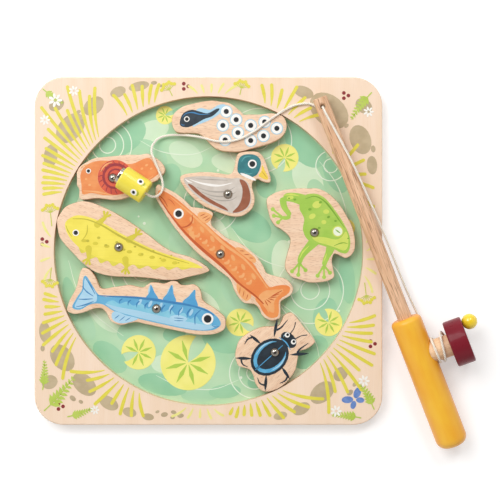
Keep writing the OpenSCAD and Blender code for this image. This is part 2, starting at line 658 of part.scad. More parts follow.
module shore_grass() {
    shore_ink("#DDD24A", 1) for (t = tufts, k = [0 : t[2] - 1])
        blade([t[0], t[1]], t[3] * (1 - 0.14 * (k % 3)), 2.6, t[4] + (t[5] - t[4]) * k / (t[2] - 1));
}

// Fern fronds: foot, direction and length
fronds = [[-140, -140, 40, 38], [-141, -122, 84, 26], [-124, -140, 8, 20], [140, 140, 232, 30],
    [141, -139, 118, 26], [134, -144, 176, 20]];

module shore_ferns() {
    shore_ink("#A8CF45", 2) for (f = fronds) {
        blade([f[0], f[1]], f[3], 1.6, f[2]);
        for (k = [1 : 6], side = [-1, 1])
            blade([f[0], f[1]] + f[3] * k / 8 * [cos(f[2]), sin(f[2])], f[3] * (0.3 - 0.025 * k), 2.4,
                f[2] + side * 52);
    }
}

// Daisies: middle and size
daisies = [[-132, 130, 6], [-116, 138, 4.5], [-141, 113, 4.5], [134, -112, 5], [110, -138, 5],
    [-98, -137, 4], [138, 120, 4.5]];

module shore_blossoms() {
    shore_ink("white", 2) for (d = daisies, k = [0 : 6]) let (a = 360 * k / 7)
        oval([d[0], d[1]] + 0.62 * d[2] * [cos(a), sin(a)], 0.4 * d[2], 0.2 * d[2], a);
}

// Berries in threes, and the daisies' eyes
berries = [[118, 134], [-128, -134], [-20, 142], [141, -80], [-142, 8]];

module shore_berries() {
    shore_ink("#8E2C2E") for (b = berries, k = [0 : 2])
        spot(b + 2.6 * [cos(120 * k), sin(120 * k)], 1.6);
}

// A butterfly near the lower right corner, drawn as two pairs of wings
module shore_butterfly() {
    shore_ink("#5B7FC0") translate(grid * [126, -128]) rotate(35) for (side = [-1, 1]) {
        oval([5.2 * side, 3.4], 5, 3, 32 * side);
        oval([3.6 * side, -3.2], 3.6, 2.4, -38 * side);
    }
}

// Tadpole and spawn: one tadpole and a string of eggs
eggs = [[-4, 14.5], [-7, 2.5], [-5, -10], [4.5, 7.5], [6, -3.7], [17, -10.5], [17, 2.5], [28, -6.5],
    [29, 5.5], [39.5, 0]];
egg_r = 5.4;

module tadpole_print() {
    piece_ink(tadpole_at, "#1F2A33") blot([[-44, 6], [-41, 13], [-34, 16], [-27, 14.5], [-20, 13],
        [-12, 17], [-10, 16], [-16, 10.5], [-23, 8], [-30, 4], [-37, 1], [-43, 2]]);
}

module spawn_print() {
    piece_ink(tadpole_at, "#A9D0E2") for (e = eggs) spot(e, egg_r);
}

module duck_head_print() {
    piece_ink(duck_at, "#368085") blot([[9, 18.5], [8.5, 26], [11, 32.5], [18, 34.5], [25, 33], [28.4, 28],
        [27.4, 21.5], [24, 16], [17, 14.5]]);
}

module duck_body_print() {
    piece_ink(duck_at, "#C5BAAF") blot([[-38, 13.5], [-32, 15], [-20, 15.5], [-6, 14.5], [3, 13.5],
        [10, 13.8], [17, 10], [19.5, 2], [20, -6], [17, -12], [10, -16], [2, -16], [-8, -12.5],
        [-19, -7.5], [-29, 0], [-36, 8]]);
}

// A brown breast and a dark line under the wing
module duck_breast_print() {
    piece_ink(duck_at, "#8E5236", 1) {
        blot([[10, 12.6], [15.5, 10.4], [18.6, 3], [19.2, -5], [16.4, -11.4], [10, -15.2], [4, -15.6],
            [9, -10], [12, -3], [12.4, 5]]);
        blot([[-34.5, 8.6], [-28, 1.4], [-18, -6], [-8, -11.2], [0, -14.4], [-3, -10.8], [-12, -6],
            [-22, 0.4], [-30, 7.4]]);
    }
}

module duck_bill_print() {
    piece_ink(duck_at, "#F6D954") blot([[29.6, 25], [32, 20], [34.6, 14.5], [33.5, 12.5], [29, 14],
        [26.5, 16.2], [28.8, 20]]);
}

// The frog's head and body, with its head to the right
frog_skin = [[-10, 31], [0, 33.5], [9, 29.5], [17, 20], [25, 8], [30, -3], [30.5, -12], [28, -17.5],
    [23, -17.5], [16, -14], [6, -11], [-5, -7], [-10, 2], [-9, 12], [-13, 21]];
// Bare wood between the body and the legs
leg_gap = 0.9;

// A frog with a folded hind leg and two front legs
module frog_print() {
    piece_ink(frog_at, "#A0C850") {
        blot(frog_skin);
        difference() {
            union() {
                limb([-6, 27], [-27, 31], 5.6, 3.4);
                limb([-27, 31], [-20, 14], 3.2, 2);
                limb([-20, 14], [-32, 12], 2, 1.6);
                toes([-31, 12.5], 8.5, 200);
                limb([4, -6], [-9, -20], 4.6, 2.6);
                limb([-9, -20], [-13, -31], 2.4, 1.7);
                toes([-13, -30], 8, 262);
                limb([14, -11], [10, -25], 4, 2.2);
                limb([10, -25], [7, -33], 2, 1.5);
                toes([7, -32], 7.5, 272);
            }
            blot(inset(frog_skin, -leg_gap));
        }
    }
}

module frog_spot_print() {
    piece_ink(frog_at, "#D4E068", 1) {
        blot([[27, 1], [29, -5], [28.6, -12.4], [25, -15.6], [19, -13.4], [10, -10.4], [2, -8], [-2, -4],
            [8, -4], [18, -6], [23, -4]]);
        oval([2, 24], 4, 3, 20);
        oval([10, 18], 2.6, 2, 0);
        oval([-2, 14], 3, 2.2, 30);
        oval([8, 9], 2.2, 1.8, 0);
        oval([-21, 30], 3, 1.6, 10);
    }
}

module beetle_print() {
    piece_ink(beetle_at, "#18222B") {
        oval([-6, 0], 18, 14.5);
        oval([16, 0], 5.5, 8);
        for (side = [-1, 1]) {
            blade([8, 10 * side], 17, 2.6, 38 * side);
            blade([-4, 13 * side], 13, 2.6, 98 * side);
            blade([-18, 9 * side], 15, 2.6, 136 * side);
        }
    }
}

// A crescent down each wing case, with the seam between them left dark
module beetle_wing_print() {
    piece_ink(beetle_at, "#4FA3CF", 1) difference() {
        oval([-6, 0], 15.5, 12.2);
        oval([-4, 0], 14.5, 9.4);
        translate(grid * [-30, -0.8]) square(grid * [60, 1.6]);
    }
}

pike_skin = [[76, -3], [70, -6], [60, -8], [46, -9], [28, -10], [10, -10.5], [-8, -13], [-24, -14],
    [-38, -11], [-50, -9], [-58, -15], [-64, -17], [-62, -9], [-63, -3], [-68, 3], [-63, 7.5], [-54, 6],
    [-44, 6.5], [-32, 8.5], [-16, 7.5], [2, 8.5], [20, 9.5], [40, 8.5], [60, 5], [72, 2]];

module pike_print() {
    piece_ink(pike_at, "#E27C3D") blot(pike_skin);
}

module pike_fin_print() {
    piece_ink(pike_at, "#EDA563", 1) {
        for (k = [0 : 7]) oval([50 - 12 * k, -3.5 - 0.35 * k], 3, 1.5, -20);
        blade([-52, -6], 13, 3, 222);
        blade([-54, 1], 13, 3, 150);
        blade([-30, 6.5], 11, 4, 160);
        blade([34, 3], 12, 4.5, 155);
    }
}

newt_skin = [[50, -6], [44, -13], [34, -15.5], [20, -15], [4, -12], [-12, -10], [-28, -8.5], [-46, -8.5],
    [-62, -9.5], [-74, -8], [-64, -4.5], [-50, 0], [-34, 5], [-18, 9.5], [-2, 13], [14, 14.5], [30, 12.5],
    [42, 7], [49, 0]];

module newt_print() {
    piece_ink(newt_at, "#F7E55B") blot(newt_skin);
}

module newt_leg_print() {
    piece_ink(newt_at, "#E0D745", 1) {
        for (k = [0 : 8]) oval([30 - 10 * k, 5 - 1.1 * k], 2.4, 1.4, 20);
        for (leg = [[[24, 10], [21, 17.5], 84], [[-9, 8], [-12, 14], 100], [[24, -12], [20, -19.5], 262],
                [[-6, -9], [-10, -14.5], 248]]) {
            limb(leg[0], leg[1], 2.8, 1.6);
            toes(leg[1], 5.4, leg[2]);
        }
    }
}

stickleback_skin = [[57, -1], [51, 5], [42, 8.5], [28, 10], [12, 9], [-6, 7.5], [-24, 5], [-38, 2], [-50, 1],
    [-58, 8], [-65, 15], [-67, 12], [-66, 3], [-69, -5], [-71, -14], [-64, -14.5], [-56, -8], [-46, -6],
    [-34, -10], [-16, -11.5], [4, -12], [26, -12], [42, -10.5], [53, -7]];

module stickleback_print() {
    piece_ink(stickleback_at, "#5BA7D1") blot(stickleback_skin);
}

module stickleback_fin_print() {
    piece_ink(stickleback_at, "#A9D2E8", 1) {
        blot([[54, -4], [44, -5], [28, -5.5], [8, -5.5], [-14, -5], [-34, -5.5], [-44, -5], [-34, -9],
            [-14, -10.5], [8, -11], [28, -11], [44, -9.5]]);
        for (spine = [[-6, 7, 13, 104], [8, 9, 14, 84], [26, 10, 13, 74]])
            blade([spine[0], spine[1]], spine[2], 5, spine[3]);
        for (k = [0 : 5]) oval([30 - 9 * k, 3], 3.2, 1.3, 75);
    }
}

shell_at = [2, 0.5];
shell_r = 15;

module snail_body_print() {
    piece_ink(snail_at, "#E67F42") difference() {
        blot([[-28, 2], [-25, 9], [-18, 13.5], [-8, 15], [4, 14], [16, 12], [28, 17], [33, 16], [37, 9],
            [40, 5], [36, 1], [28, -4], [18, -9], [8, -14], [-6, -15], [-18, -13], [-26, -14], [-27, -6]]);
        spot(shell_at, shell_r + 0.1);
    }
}

module snail_shell_print() {
    piece_ink(snail_at, "#E0603F") spot(shell_at, shell_r);
}

// A band that winds inwards and narrows towards the shell's middle
module spiral(at, r, turns, w) {
    n = 16 * turns;
    sides = [for (s = [1, -1]) [for (k = [0 : n]) let (t = s > 0 ? k / n : 1 - k / n, share = 1 - 0.85 * t)
        grid * (at + share * (r + s * w / 2) * [cos(360 * turns * t), sin(360 * turns * t)])]];
    polygon(concat(sides[0], sides[1]));
}

module snail_spiral_print() {
    piece_ink(snail_at, "#9E3238", 1) spiral(shell_at, 12.2, 2.5, 2.6);
}

// Eyes: animal's place, middle and radius
eyes = [[duck_at, [21, 26], 3.8], [frog_at, [20, 1], 4], [pike_at, [50, 0], 4.4], [newt_at, [39, 1], 2.8],
    [stickleback_at, [45, 0.5], 5], [snail_at, [-21, 6], 2.2], [tadpole_at, [-38, 8], 2.4]];
// Share of an eye that its pupil takes, on the animals and on the bait
pupil = 0.66;
bait_pupil = 0.5;

// A round print of diameter d on each side of the bait's top
module bait_ink(d, layer) {
    inner = bait_d / 2 + layer * ink_t;
    on_bait() intersection() {
        rotate([0, 90, 0]) difference() {
            cylinder(r = inner + ink_t, h = bait_l, $fn = 96);
            translate([0, 0, -over]) cylinder(r = inner, h = bait_l + 2 * over, $fn = 96);
        }
        for (lean = [-eye_lean, eye_lean])
            rotate([lean, 0, 0]) translate([eye_share * bait_l, 0, 0]) cylinder(d = d, h = bait_d, $fn = 40);
    }
}

module white_print() {
    for (e = eyes) piece_ink(e[0], "white", 2) spot(e[1], e[2]);
    piece_ink(tadpole_at, "white", 1) for (e = eggs) spot(e, egg_r - 0.8);
    piece_ink(duck_at, "white", 2) oval([17.4, 15], 7.4, 1.4, -24);
    color("white") bait_ink(eye_d, 0);
}

module black_print() {
    for (e = eyes) piece_ink(e[0], "black", 3) spot(e[1], pupil * e[2]);
    piece_ink(tadpole_at, "black", 2) for (e = eggs) spot(e, 2.2);
    color("black") bait_ink(bait_pupil * eye_d, 1);
}

base_panel();
frame_panel();
tadpole();
duck();
frog();
beetle();
pike();
newt();
stickleback();
snail();
duck_stud();
frog_stud();
beetle_stud();
pike_stud();
newt_stud();
stickleback_stud();
snail_stud();
rod_dowel();
handle();
reel_screw();
reel_drum();
reel_disc();
reel_peg();
reel_knob();
bait_body();
bait_magnet();
cord();
pond_water();
pond_depths();
pond_ripples();
lily_pads();
lily_veins();
shore_stones();
shore_grass();
shore_ferns();
shore_blossoms();
shore_berries();
shore_butterfly();
tadpole_print();
spawn_print();
duck_head_print();
duck_body_print();
duck_breast_print();
duck_bill_print();
frog_print();
frog_spot_print();
beetle_print();
beetle_wing_print();
pike_print();
pike_fin_print();
newt_print();
newt_leg_print();
stickleback_print();
stickleback_fin_print();
snail_shell_print();
snail_spiral_print();
snail_body_print();
white_print();
black_print();
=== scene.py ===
"""Magnetic fishing game: the looks of its pond board, plywood animals, rod, reel, cord and bait.

Every piece is worked out in millimetres with numpy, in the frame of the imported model: the origin is
the centre of the board's underside, +Z is up and +Y points to the board's far edge.
"""

from __future__ import annotations

import json
import logging
import math
from collections.abc import Callable
from dataclasses import dataclass, field
from enum import Enum

import bpy
import numpy as np
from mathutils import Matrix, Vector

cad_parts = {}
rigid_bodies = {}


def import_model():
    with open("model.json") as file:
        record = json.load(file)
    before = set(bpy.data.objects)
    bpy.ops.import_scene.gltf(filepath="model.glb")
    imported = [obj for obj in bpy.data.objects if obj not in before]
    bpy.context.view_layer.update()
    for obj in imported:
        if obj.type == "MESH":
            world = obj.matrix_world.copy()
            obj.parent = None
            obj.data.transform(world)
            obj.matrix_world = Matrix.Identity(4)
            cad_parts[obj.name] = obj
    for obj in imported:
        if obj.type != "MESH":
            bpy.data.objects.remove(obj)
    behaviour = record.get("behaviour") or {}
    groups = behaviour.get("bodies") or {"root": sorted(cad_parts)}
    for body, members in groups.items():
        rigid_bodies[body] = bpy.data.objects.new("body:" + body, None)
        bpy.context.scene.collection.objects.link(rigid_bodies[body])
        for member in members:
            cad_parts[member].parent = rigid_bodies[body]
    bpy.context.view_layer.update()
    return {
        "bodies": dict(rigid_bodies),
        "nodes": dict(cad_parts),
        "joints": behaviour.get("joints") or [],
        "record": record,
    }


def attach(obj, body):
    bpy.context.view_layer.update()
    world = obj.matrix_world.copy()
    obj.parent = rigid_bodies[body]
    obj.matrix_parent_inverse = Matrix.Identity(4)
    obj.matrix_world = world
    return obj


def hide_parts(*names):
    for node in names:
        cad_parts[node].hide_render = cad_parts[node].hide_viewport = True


Array = np.ndarray
Colour = tuple[float, float, float, float]
Socket = bpy.types.NodeSocket
Value = Socket | float | tuple[float, ...]
Line = tuple[tuple[float, float], ...]
Widths = tuple[float, float, float]
Oval = tuple[float, float, float, float, float]
log = logging.getLogger("fishing_game")

MM = 0.001
# One layer of print, the base sheet, the board's top, and an animal's underside, thickness and top.
INK_T = 0.08
BASE_T, BOARD_T = 4.0, 12.0
PIECE_Z, PIECE_T = 4.32, 9.0
PIECE_TOP = PIECE_Z + PIECE_T
# The studs' heads sit on the animals' highest layer of print.
STUD_Z = PIECE_TOP + 4 * INK_T


class Body(Enum):
    """The two bodies that the pieces ride on."""

    BOARD = "board_and_rod"
    REEL = "reel"


# Shapes


@dataclass
class Shell:
    """A closed surface, or several, in millimetres.

    Attributes:
        points: (n, 3) points in the row frame.
        local: (n, 3) the same points in the piece's own frame, which patterns follow.
        quads: (m, 4) faces.
        tris: (k, 3) faces.
        caps: faces with many corners.
    """

    points: Array
    local: Array
    quads: Array = field(default_factory=lambda: np.zeros((0, 4), int))
    tris: Array = field(default_factory=lambda: np.zeros((0, 3), int))
    caps: list[Array] = field(default_factory=list)

    def volume(self) -> float:
        """Signed volume.

        Returns:
            The sum over triangles of a . (b x c) / 6.
        """
        q, t = self.quads, self.tris
        fans = [np.stack([np.full(len(c) - 2, c[0]), c[1:-1], c[2:]], 1) for c in self.caps]
        every = np.concatenate([q[:, [0, 1, 2]], q[:, [0, 2, 3]], t, *fans])
        a, b, c = (self.points[every[:, k]] for k in range(3))
        return float((a * np.cross(b, c)).sum() / 6)

    def outward(self) -> Shell:
        """The same surface with its faces turned outwards."""
        if self.volume() < 0:
            self.quads, self.tris = self.quads[:, ::-1], self.tris[:, ::-1]
            self.caps = [c[::-1] for c in self.caps]
        return self

    def faces(self) -> list[list[int]]:
        """All faces as lists."""
        return self.quads.tolist() + self.tris.tolist() + [c.tolist() for c in self.caps]

    def mesh(self, name: str) -> bpy.types.Mesh:
        """The surface as a mesh.

        Args:
            name: the mesh's name.

        Returns:
            The mesh, in metres.
        """
        made = bpy.data.meshes.new(name)
        made.from_pydata((self.points * MM).tolist(), [], self.faces())
        return made


def join(shells: list[Shell]) -> Shell:
    """Several shells as one, with the indices of each moved past those before it.

    Args:
        shells: the shells, in order.

    Returns:
        One shell.
    """
    starts = np.cumsum([0] + [len(s.points) for s in shells[:-1]])
    pairs = list(zip(shells, starts, strict=True))
    return Shell(
        np.concatenate([s.points for s in shells]),
        np.concatenate([s.local for s in shells]),
        np.concatenate([s.quads + k for s, k in pairs]),
        np.concatenate([s.tris + k for s, k in pairs]),
        [c + k for s, k in pairs for c in s.caps],
    )


@dataclass(frozen=True)
class Frame:
    """A place in the row frame: an origin, and the directions of its own three axes as rows."""

    origin: Array
    axes: Array

    def place(self, points: Array) -> Array:
        """Points of this frame in the row frame: origin + x X + y Y + z Z."""
        return self.origin + points @ self.axes

    def moved(self, step: tuple[float, float, float], order: tuple[int, int, int] = (0, 1, 2)) -> Frame:
        """The frame moved by a step along its own axes, with its axes taken in another order."""
        return Frame(self.place(np.array(step, float)), self.axes[list(order)])


def heading(degrees: float) -> Array:
    """The direction (cos a, sin a)."""
    a = math.radians(degrees)
    return np.array([math.cos(a), math.sin(a)])


def spin_z(degrees: float) -> Array:
    """Axes turned about Z by an angle."""
    c, s = heading(degrees)
    return np.array([[c, s, 0], [-s, c, 0], [0, 0, 1.0]])


FLAT = Frame(np.zeros(3), np.eye(3))


def grid_quads(n: int, m: int, wrap: bool = False) -> Array:
    """Faces between rings of points, closed round each ring.

    Args:
        n, m: how many rings, and how many points each has.
        wrap: True to join the last ring to the first as well.

    Returns:
        (faces, 4) indices: point j of ring i, its neighbour, and the same two in the next ring.
    """
    i, j = np.arange(n if wrap else n - 1)[:, None], np.arange(m)[None]
    up, on = (i + 1) % n, (j + 1) % m
    return np.stack(np.broadcast_arrays(i * m + j, i * m + on, up * m + on, up * m + j), -1).reshape(-1, 4)


def tube(rings: Array, frame: Frame = FLAT, ends: tuple[Array, Array] | None = None) -> Shell:
    """A closed tube through rings of points, with a fan to a middle point over each end.

    Args:
        rings: (n, m, 3) points.
        frame: where the rings' own frame lies.
        ends: the fans' middle points; the middles of the end rings if left out.

    Returns:
        The tube.
    """
    n, m = rings.shape[:2]
    first, last = ends if ends is not None else (rings[0].mean(0), rings[-1].mean(0))
    local = np.concatenate([rings.reshape(-1, 3), [first, last]])
    j = np.arange(m)
    on, top = (j + 1) % m, (n - 1) * m
    fans = [np.stack([np.full(m, n * m), on, j], 1), np.stack([np.full(m, n * m + 1), top + j, top + on], 1)]
    return Shell(frame.place(local), local, grid_quads(n, m), np.concatenate(fans)).outward()


def loop(rings: Array, points: Array) -> Shell:
    """A surface through (n, m, 3) rings that lead back to the first, with its points in the row frame."""
    n, m = rings.shape[:2]
    return Shell(points, rings.reshape(-1, 3), grid_quads(n, m, True)).outward()


def round_angles(n: int) -> Array:
    """n angles in radians, evenly round a circle."""
    return np.arange(n) * 2 * math.pi / n


def ring_points(profile: Array, segments: int) -> Array:
    """Circles about X, one for each point of a profile.

    Args:
        profile: (n, 2) places along X, and radii r.
        segments: how many points each circle has.

    Returns:
        (n, segments, 3) points (along, r cos t, r sin t).
    """
    t = round_angles(segments)
    along, radius = profile[:, :1], profile[:, 1:]
    return np.stack([np.broadcast_to(along, (len(profile), segments)), radius * np.cos(t), radius * np.sin(t)], -1)


def revolve(profile: Array, frame: Frame, segments: int = 96) -> Shell:
    """The solid of a profile of (along X, radius), from axis to axis, turned about X."""
    poles = (np.array([profile[0, 0], 0, 0]), np.array([profile[-1, 0], 0, 0]))
    return tube(ring_points(profile[1:-1], segments), frame, poles)


def revolve_ring(profile: Array, frame: Frame, segments: int = 96) -> Shell:
    """The ring of a closed profile of (along X, radius) turned about X."""
    rings = ring_points(profile, segments)
    return loop(rings, frame.place(rings.reshape(-1, 3)))


def corner(centre: tuple[float, float], r: float, start: float, end: float, steps: int = 8) -> Array:
    """Points of an arc, centre + r (cos a, sin a), with a in degrees from start to end."""
    a = np.radians(np.linspace(start, end, steps))
    return np.stack([centre[0] + r * np.cos(a), centre[1] + r * np.sin(a)], 1)


def bar_side(r: float, length: float, a: float, b: float, rings: int = 2) -> Array:
    """A round bar's side as (along X, radius), with its first and last corner rounded by a and b."""
    middle = np.stack([np.linspace(a, length - b, rings + 2)[1:-1], np.full(rings, r)], 1)
    return np.concatenate([corner((a, r - a), a, 180, 90), middle, corner((length - b, r - b), b, 90, 0)])


def from_axis(start: float, *profile: Array | list[list[float]], end: float) -> Array:
    """A profile of (along X, radius) that starts and ends on the axis."""
    return np.concatenate([[[start, 0]], *profile, [[end, 0]]])


def curve(points: Array, steps: int, closed: bool) -> Array:
    """A smooth curve through control points.

    On each stretch from b to c, with a and d on either side, it is
    (2b + (c - a) t + (2a - 5b + 4c - d) t^2 + (3b - a - 3c + d) t^3) / 2.

    Args:
        points: the control points.
        steps: how many points each stretch gets.
        closed: True to lead back to the first.

    Returns:
        The curve's points.
    """
    p = np.asarray(points, float)
    if closed:
        a, b, c, d = (np.roll(p, k, 0) for k in (1, 0, -1, -2))
    else:
        q = np.concatenate([[2 * p[0] - p[1]], p, [2 * p[-1] - p[-2]]])
        a, b, c, d = q[:-3], q[1:-2], q[2:-1], q[3:]
    t = (np.arange(steps) / steps)[None, :, None]
    a, b, c, d = (x[:, None] for x in (a, b, c, d))
    s = 0.5 * (2 * b + (c - a) * t + (2 * a - 5 * b + 4 * c - d) * t**2 + (3 * b - a - 3 * c + d) * t**3)
    s = s.reshape(-1, p.shape[1])
    return s if closed else np.concatenate([s, p[-1:]])


def distances(line: Array) -> Array:
    """How far along a line each of its points lies: the sum of the steps before it."""
    return np.concatenate([[0], np.cumsum(np.linalg.norm(np.diff(line, axis=0), axis=1))])


def spaced(line: Array, step: float) -> Array:
    """The line again, evenly divided.

    Args:
        line: its points.
        step: about how far apart its new points are.

    Returns:
        The new points.
    """
    along = distances(line)
    at = np.linspace(0, along[-1], max(2, round(along[-1] / step) + 1))
    return np.stack([np.interp(at, along, line[:, k]) for k in range(line.shape[1])], 1)


def unit(v: Array) -> Array:
    """Vectors divided by their lengths."""
    return v / np.maximum(np.linalg.norm(v, axis=-1, keepdims=True), 1e-12)


def outline_normals(p: Array) -> Array:
    """Outward normals of a closed outline.

    Args:
        p: (n, 2) points.

    Returns:
        (n, 2) central differences turned a right angle, away from the area inside.
    """
    run = unit(np.roll(p, -1, 0) - np.roll(p, 1, 0))
    area = (p[:, 0] * np.roll(p[:, 1], -1) - p[:, 1] * np.roll(p[:, 0], -1)).sum()
    return np.stack([run[:, 1], -run[:, 0]], 1) * (1 if area > 0 else -1)


def raised(flat: Array, heights: Array) -> Array:
    """Rings of flat points, (n, m, 2), as rings at heights, (n, m, 3)."""
    return np.concatenate([flat, np.broadcast_to(heights, flat.shape[:2])[..., None]], -1)


def sheet_cut(outline: Array, section: Array, frame: Frame = FLAT) -> Shell:
    """A shape cut from a sheet, with a flat face over its first and its last ring.

    Args:
        outline: (m, 2) points.
        section: (n, 2) for each ring, how far the outline is moved inwards, and its height.
        frame: where its own frame lies.

    Returns:
        The shape's surface.
    """
    inset, height = section[:, :1], section[:, 1:]
    rings = raised(outline[None] - inset[..., None] * outline_normals(outline)[None], height)
    n, m = rings.shape[:2]
    local = rings.reshape(-1, 3)
    caps = [np.arange(m)[::-1], (n - 1) * m + np.arange(m)]
    return Shell(frame.place(local), local, grid_quads(n, m), caps=caps).outward()


def eased(t: float, r: float, z: float = 0.0) -> Array:
    """The section of a sheet of thickness t on height z with both edges rounded by r, as (inset, height)."""
    return np.concatenate([corner((r, z + r), r, 270, 180, 5), corner((r, z + t - r), r, 180, 90, 5)])


def ribbon(line: Array, width: Array, low: float, high: float, frame: Frame = FLAT) -> Shell:
    """A thin flat band along a line: each point plus and minus half the width times the side direction.

    Args:
        line: (n, 2) points.
        width: (n,) widths.
        low, high: heights of its two faces.
        frame: where its own frame lies.

    Returns:
        The band's surface.
    """
    run = unit(np.gradient(line, axis=0))
    side = np.stack([-run[:, 1], run[:, 0]], 1) * width[:, None] / 2
    flat = np.stack([line - side, line + side, line + side, line - side], 1)
    return tube(raised(flat, np.array([low, low, high, high])), frame)


def transported(line: Array) -> tuple[Array, Array]:
    """Two side directions along a line that turn as little as they can.

    Each point gets a side at right angles to the axis least along the line. The angle from each side
    to the one carried on from the point before is added up along the line, and the sides turn by it.

    Args:
        line: (n, 3) points.

    Returns:
        (n, 3) each.
    """
    run = unit(np.gradient(line, axis=0))
    axis = np.eye(3)[np.abs(run).argmin(1)]
    side = unit(np.cross(run, axis))
    up = np.cross(run, side)
    carried = side[:-1] - (side[:-1] * run[1:]).sum(1, keepdims=True) * run[1:]
    step = np.arctan2((carried * up[1:]).sum(1), (carried * side[1:]).sum(1))
    a = np.concatenate([[0], np.cumsum(step)])[:, None]
    return side * np.cos(a) + up * np.sin(a), up * np.cos(a) - side * np.sin(a)


# Finishes

# Blender's noise spreads over about these values, so that a range between them shows all of it.
NOISE_LOW, NOISE_HIGH = 0.3, 0.7


def linear(hexa: str) -> Colour:
    """A colour as light.

    Args:
        hexa: the colour as # and six sRGB hex digits.

    Returns:
        Linear red, green and blue, and 1.
    """
    c = np.array([int(hexa[k : k + 2], 16) for k in (1, 3, 5)]) / 255
    c = np.where(c <= 0.04045, c / 12.92, ((c + 0.055) / 1.055) ** 2.4)
    return (float(c[0]), float(c[1]), float(c[2]), 1.0)


def darker(colour: Colour, share: float) -> Colour:
    """A colour whose light is a share of another's."""
    return tuple(c * share for c in colour[:3]) + (1.0,)


class Nodes:
    """A node tree while it is put together."""

    def __init__(self, tree: bpy.types.NodeTree) -> None:
        """Takes the tree."""
        self.tree = tree

    def add(self, kind: str, out: int | str, links: dict[int | str, Value], **settings: object) -> Socket:
        """Adds a node with its settings and links.

        Args:
            kind: the node's type, without the word ShaderNode.
            out: the output that is wanted.
            links: for each input, a socket to link or a value to hold.
            settings: the node's own settings.

        Returns:
            The output.
        """
        node = self.tree.nodes.new("ShaderNode" + kind)
        for key, value in settings.items():
            setattr(node, key, value)
        for key, value in links.items():
            if isinstance(value, Socket):
                self.tree.links.new(value, node.inputs[key])
            else:
                node.inputs[key].default_value = value
        return node.outputs[out]


class Recipe(Nodes):
    """A material's nodes, round one Principled shader."""

    def __init__(self, name: str) -> None:
        """Starts a material.

        Args:
            name: the material's name.
        """
        self.material = bpy.data.materials.new(name)
        self.material.use_nodes = True
        super().__init__(self.material.node_tree)
        self.shader = self.tree.nodes["Principled BSDF"]

    def surface(self, **inputs: Value) -> None:
        """Sets or links the shader's inputs, named with _ for a blank."""
        for key, value in inputs.items():
            socket = self.shader.inputs[key.replace("_", " ")]
            if isinstance(value, Socket):
                self.tree.links.new(value, socket)
            else:
                socket.default_value = value

    def steps(self, scale: tuple[float, float, float], own: bool, turn: float = 0.0) -> Socket:
        """Pattern coordinates in steps of a real size.

        Args:
            scale: millimetres in one step of the pattern, along X, Y and Z.
            own: True to read the piece's own frame in its attribute, False for Object coordinates.
            turn: degrees that the pattern is turned about Z.

        Returns:
            The coordinates.
        """
        if own:
            start = self.add("Attribute", "Vector", {}, attribute_name="local")
        else:
            start = self.add("TexCoord", "Object", {})
        if turn:
            start = self.add("Mapping", 0, {"Vector": start, "Rotation": (0, 0, math.radians(turn))})
        return self.add("Mapping", 0, {"Vector": start, "Scale": tuple(1 / (s * MM) for s in scale)})

    def dull(self, noise: Socket, low: float, high: float) -> None:
        """Roughness that goes from low to high with a noise."""
        self.surface(Roughness=self.add("MapRange", 0, {0: noise, 1: NOISE_LOW, 2: NOISE_HIGH, 3: low, 4: high}))

    def relief(self, height: Socket, depth_mm: float, strength: float) -> None:
        """Fine relief from a pattern, of a real depth."""
        self.surface(Normal=self.add("Bump", 0, {"Height": height, "Distance": depth_mm * MM, "Strength": strength}))

    def mottle(
        self,
        colour: Socket | Colour,
        tone: Socket | Colour,
        at: Socket,
        span: tuple[float, float],
        share: float,
        detail: float = 2.0,
        rough: float = 0.5,
    ) -> tuple[Socket, Socket]:
        """Lays a second tone over a colour in patches.

        Args:
            colour, tone: the two colours.
            at: the coordinates of the noise that makes the patches.
            span: the noise's values where the tone starts and where it reaches its share.
            share: how much of the tone shows at most.
            detail, rough: the noise's octaves, and how much the finer ones count.

        Returns:
            The new colour, and the noise.
        """
        noise = self.add("TexNoise", "Fac", {"Vector": at, "Scale": 1.0, "Detail": detail, "Roughness": rough})
        amount = self.add("MapRange", 0, {0: noise, 1: span[0], 2: span[1], 3: 0.0, 4: share})
        return self.add("Mix", 2, {0: amount, 6: colour, 7: tone}, data_type="RGBA"), noise


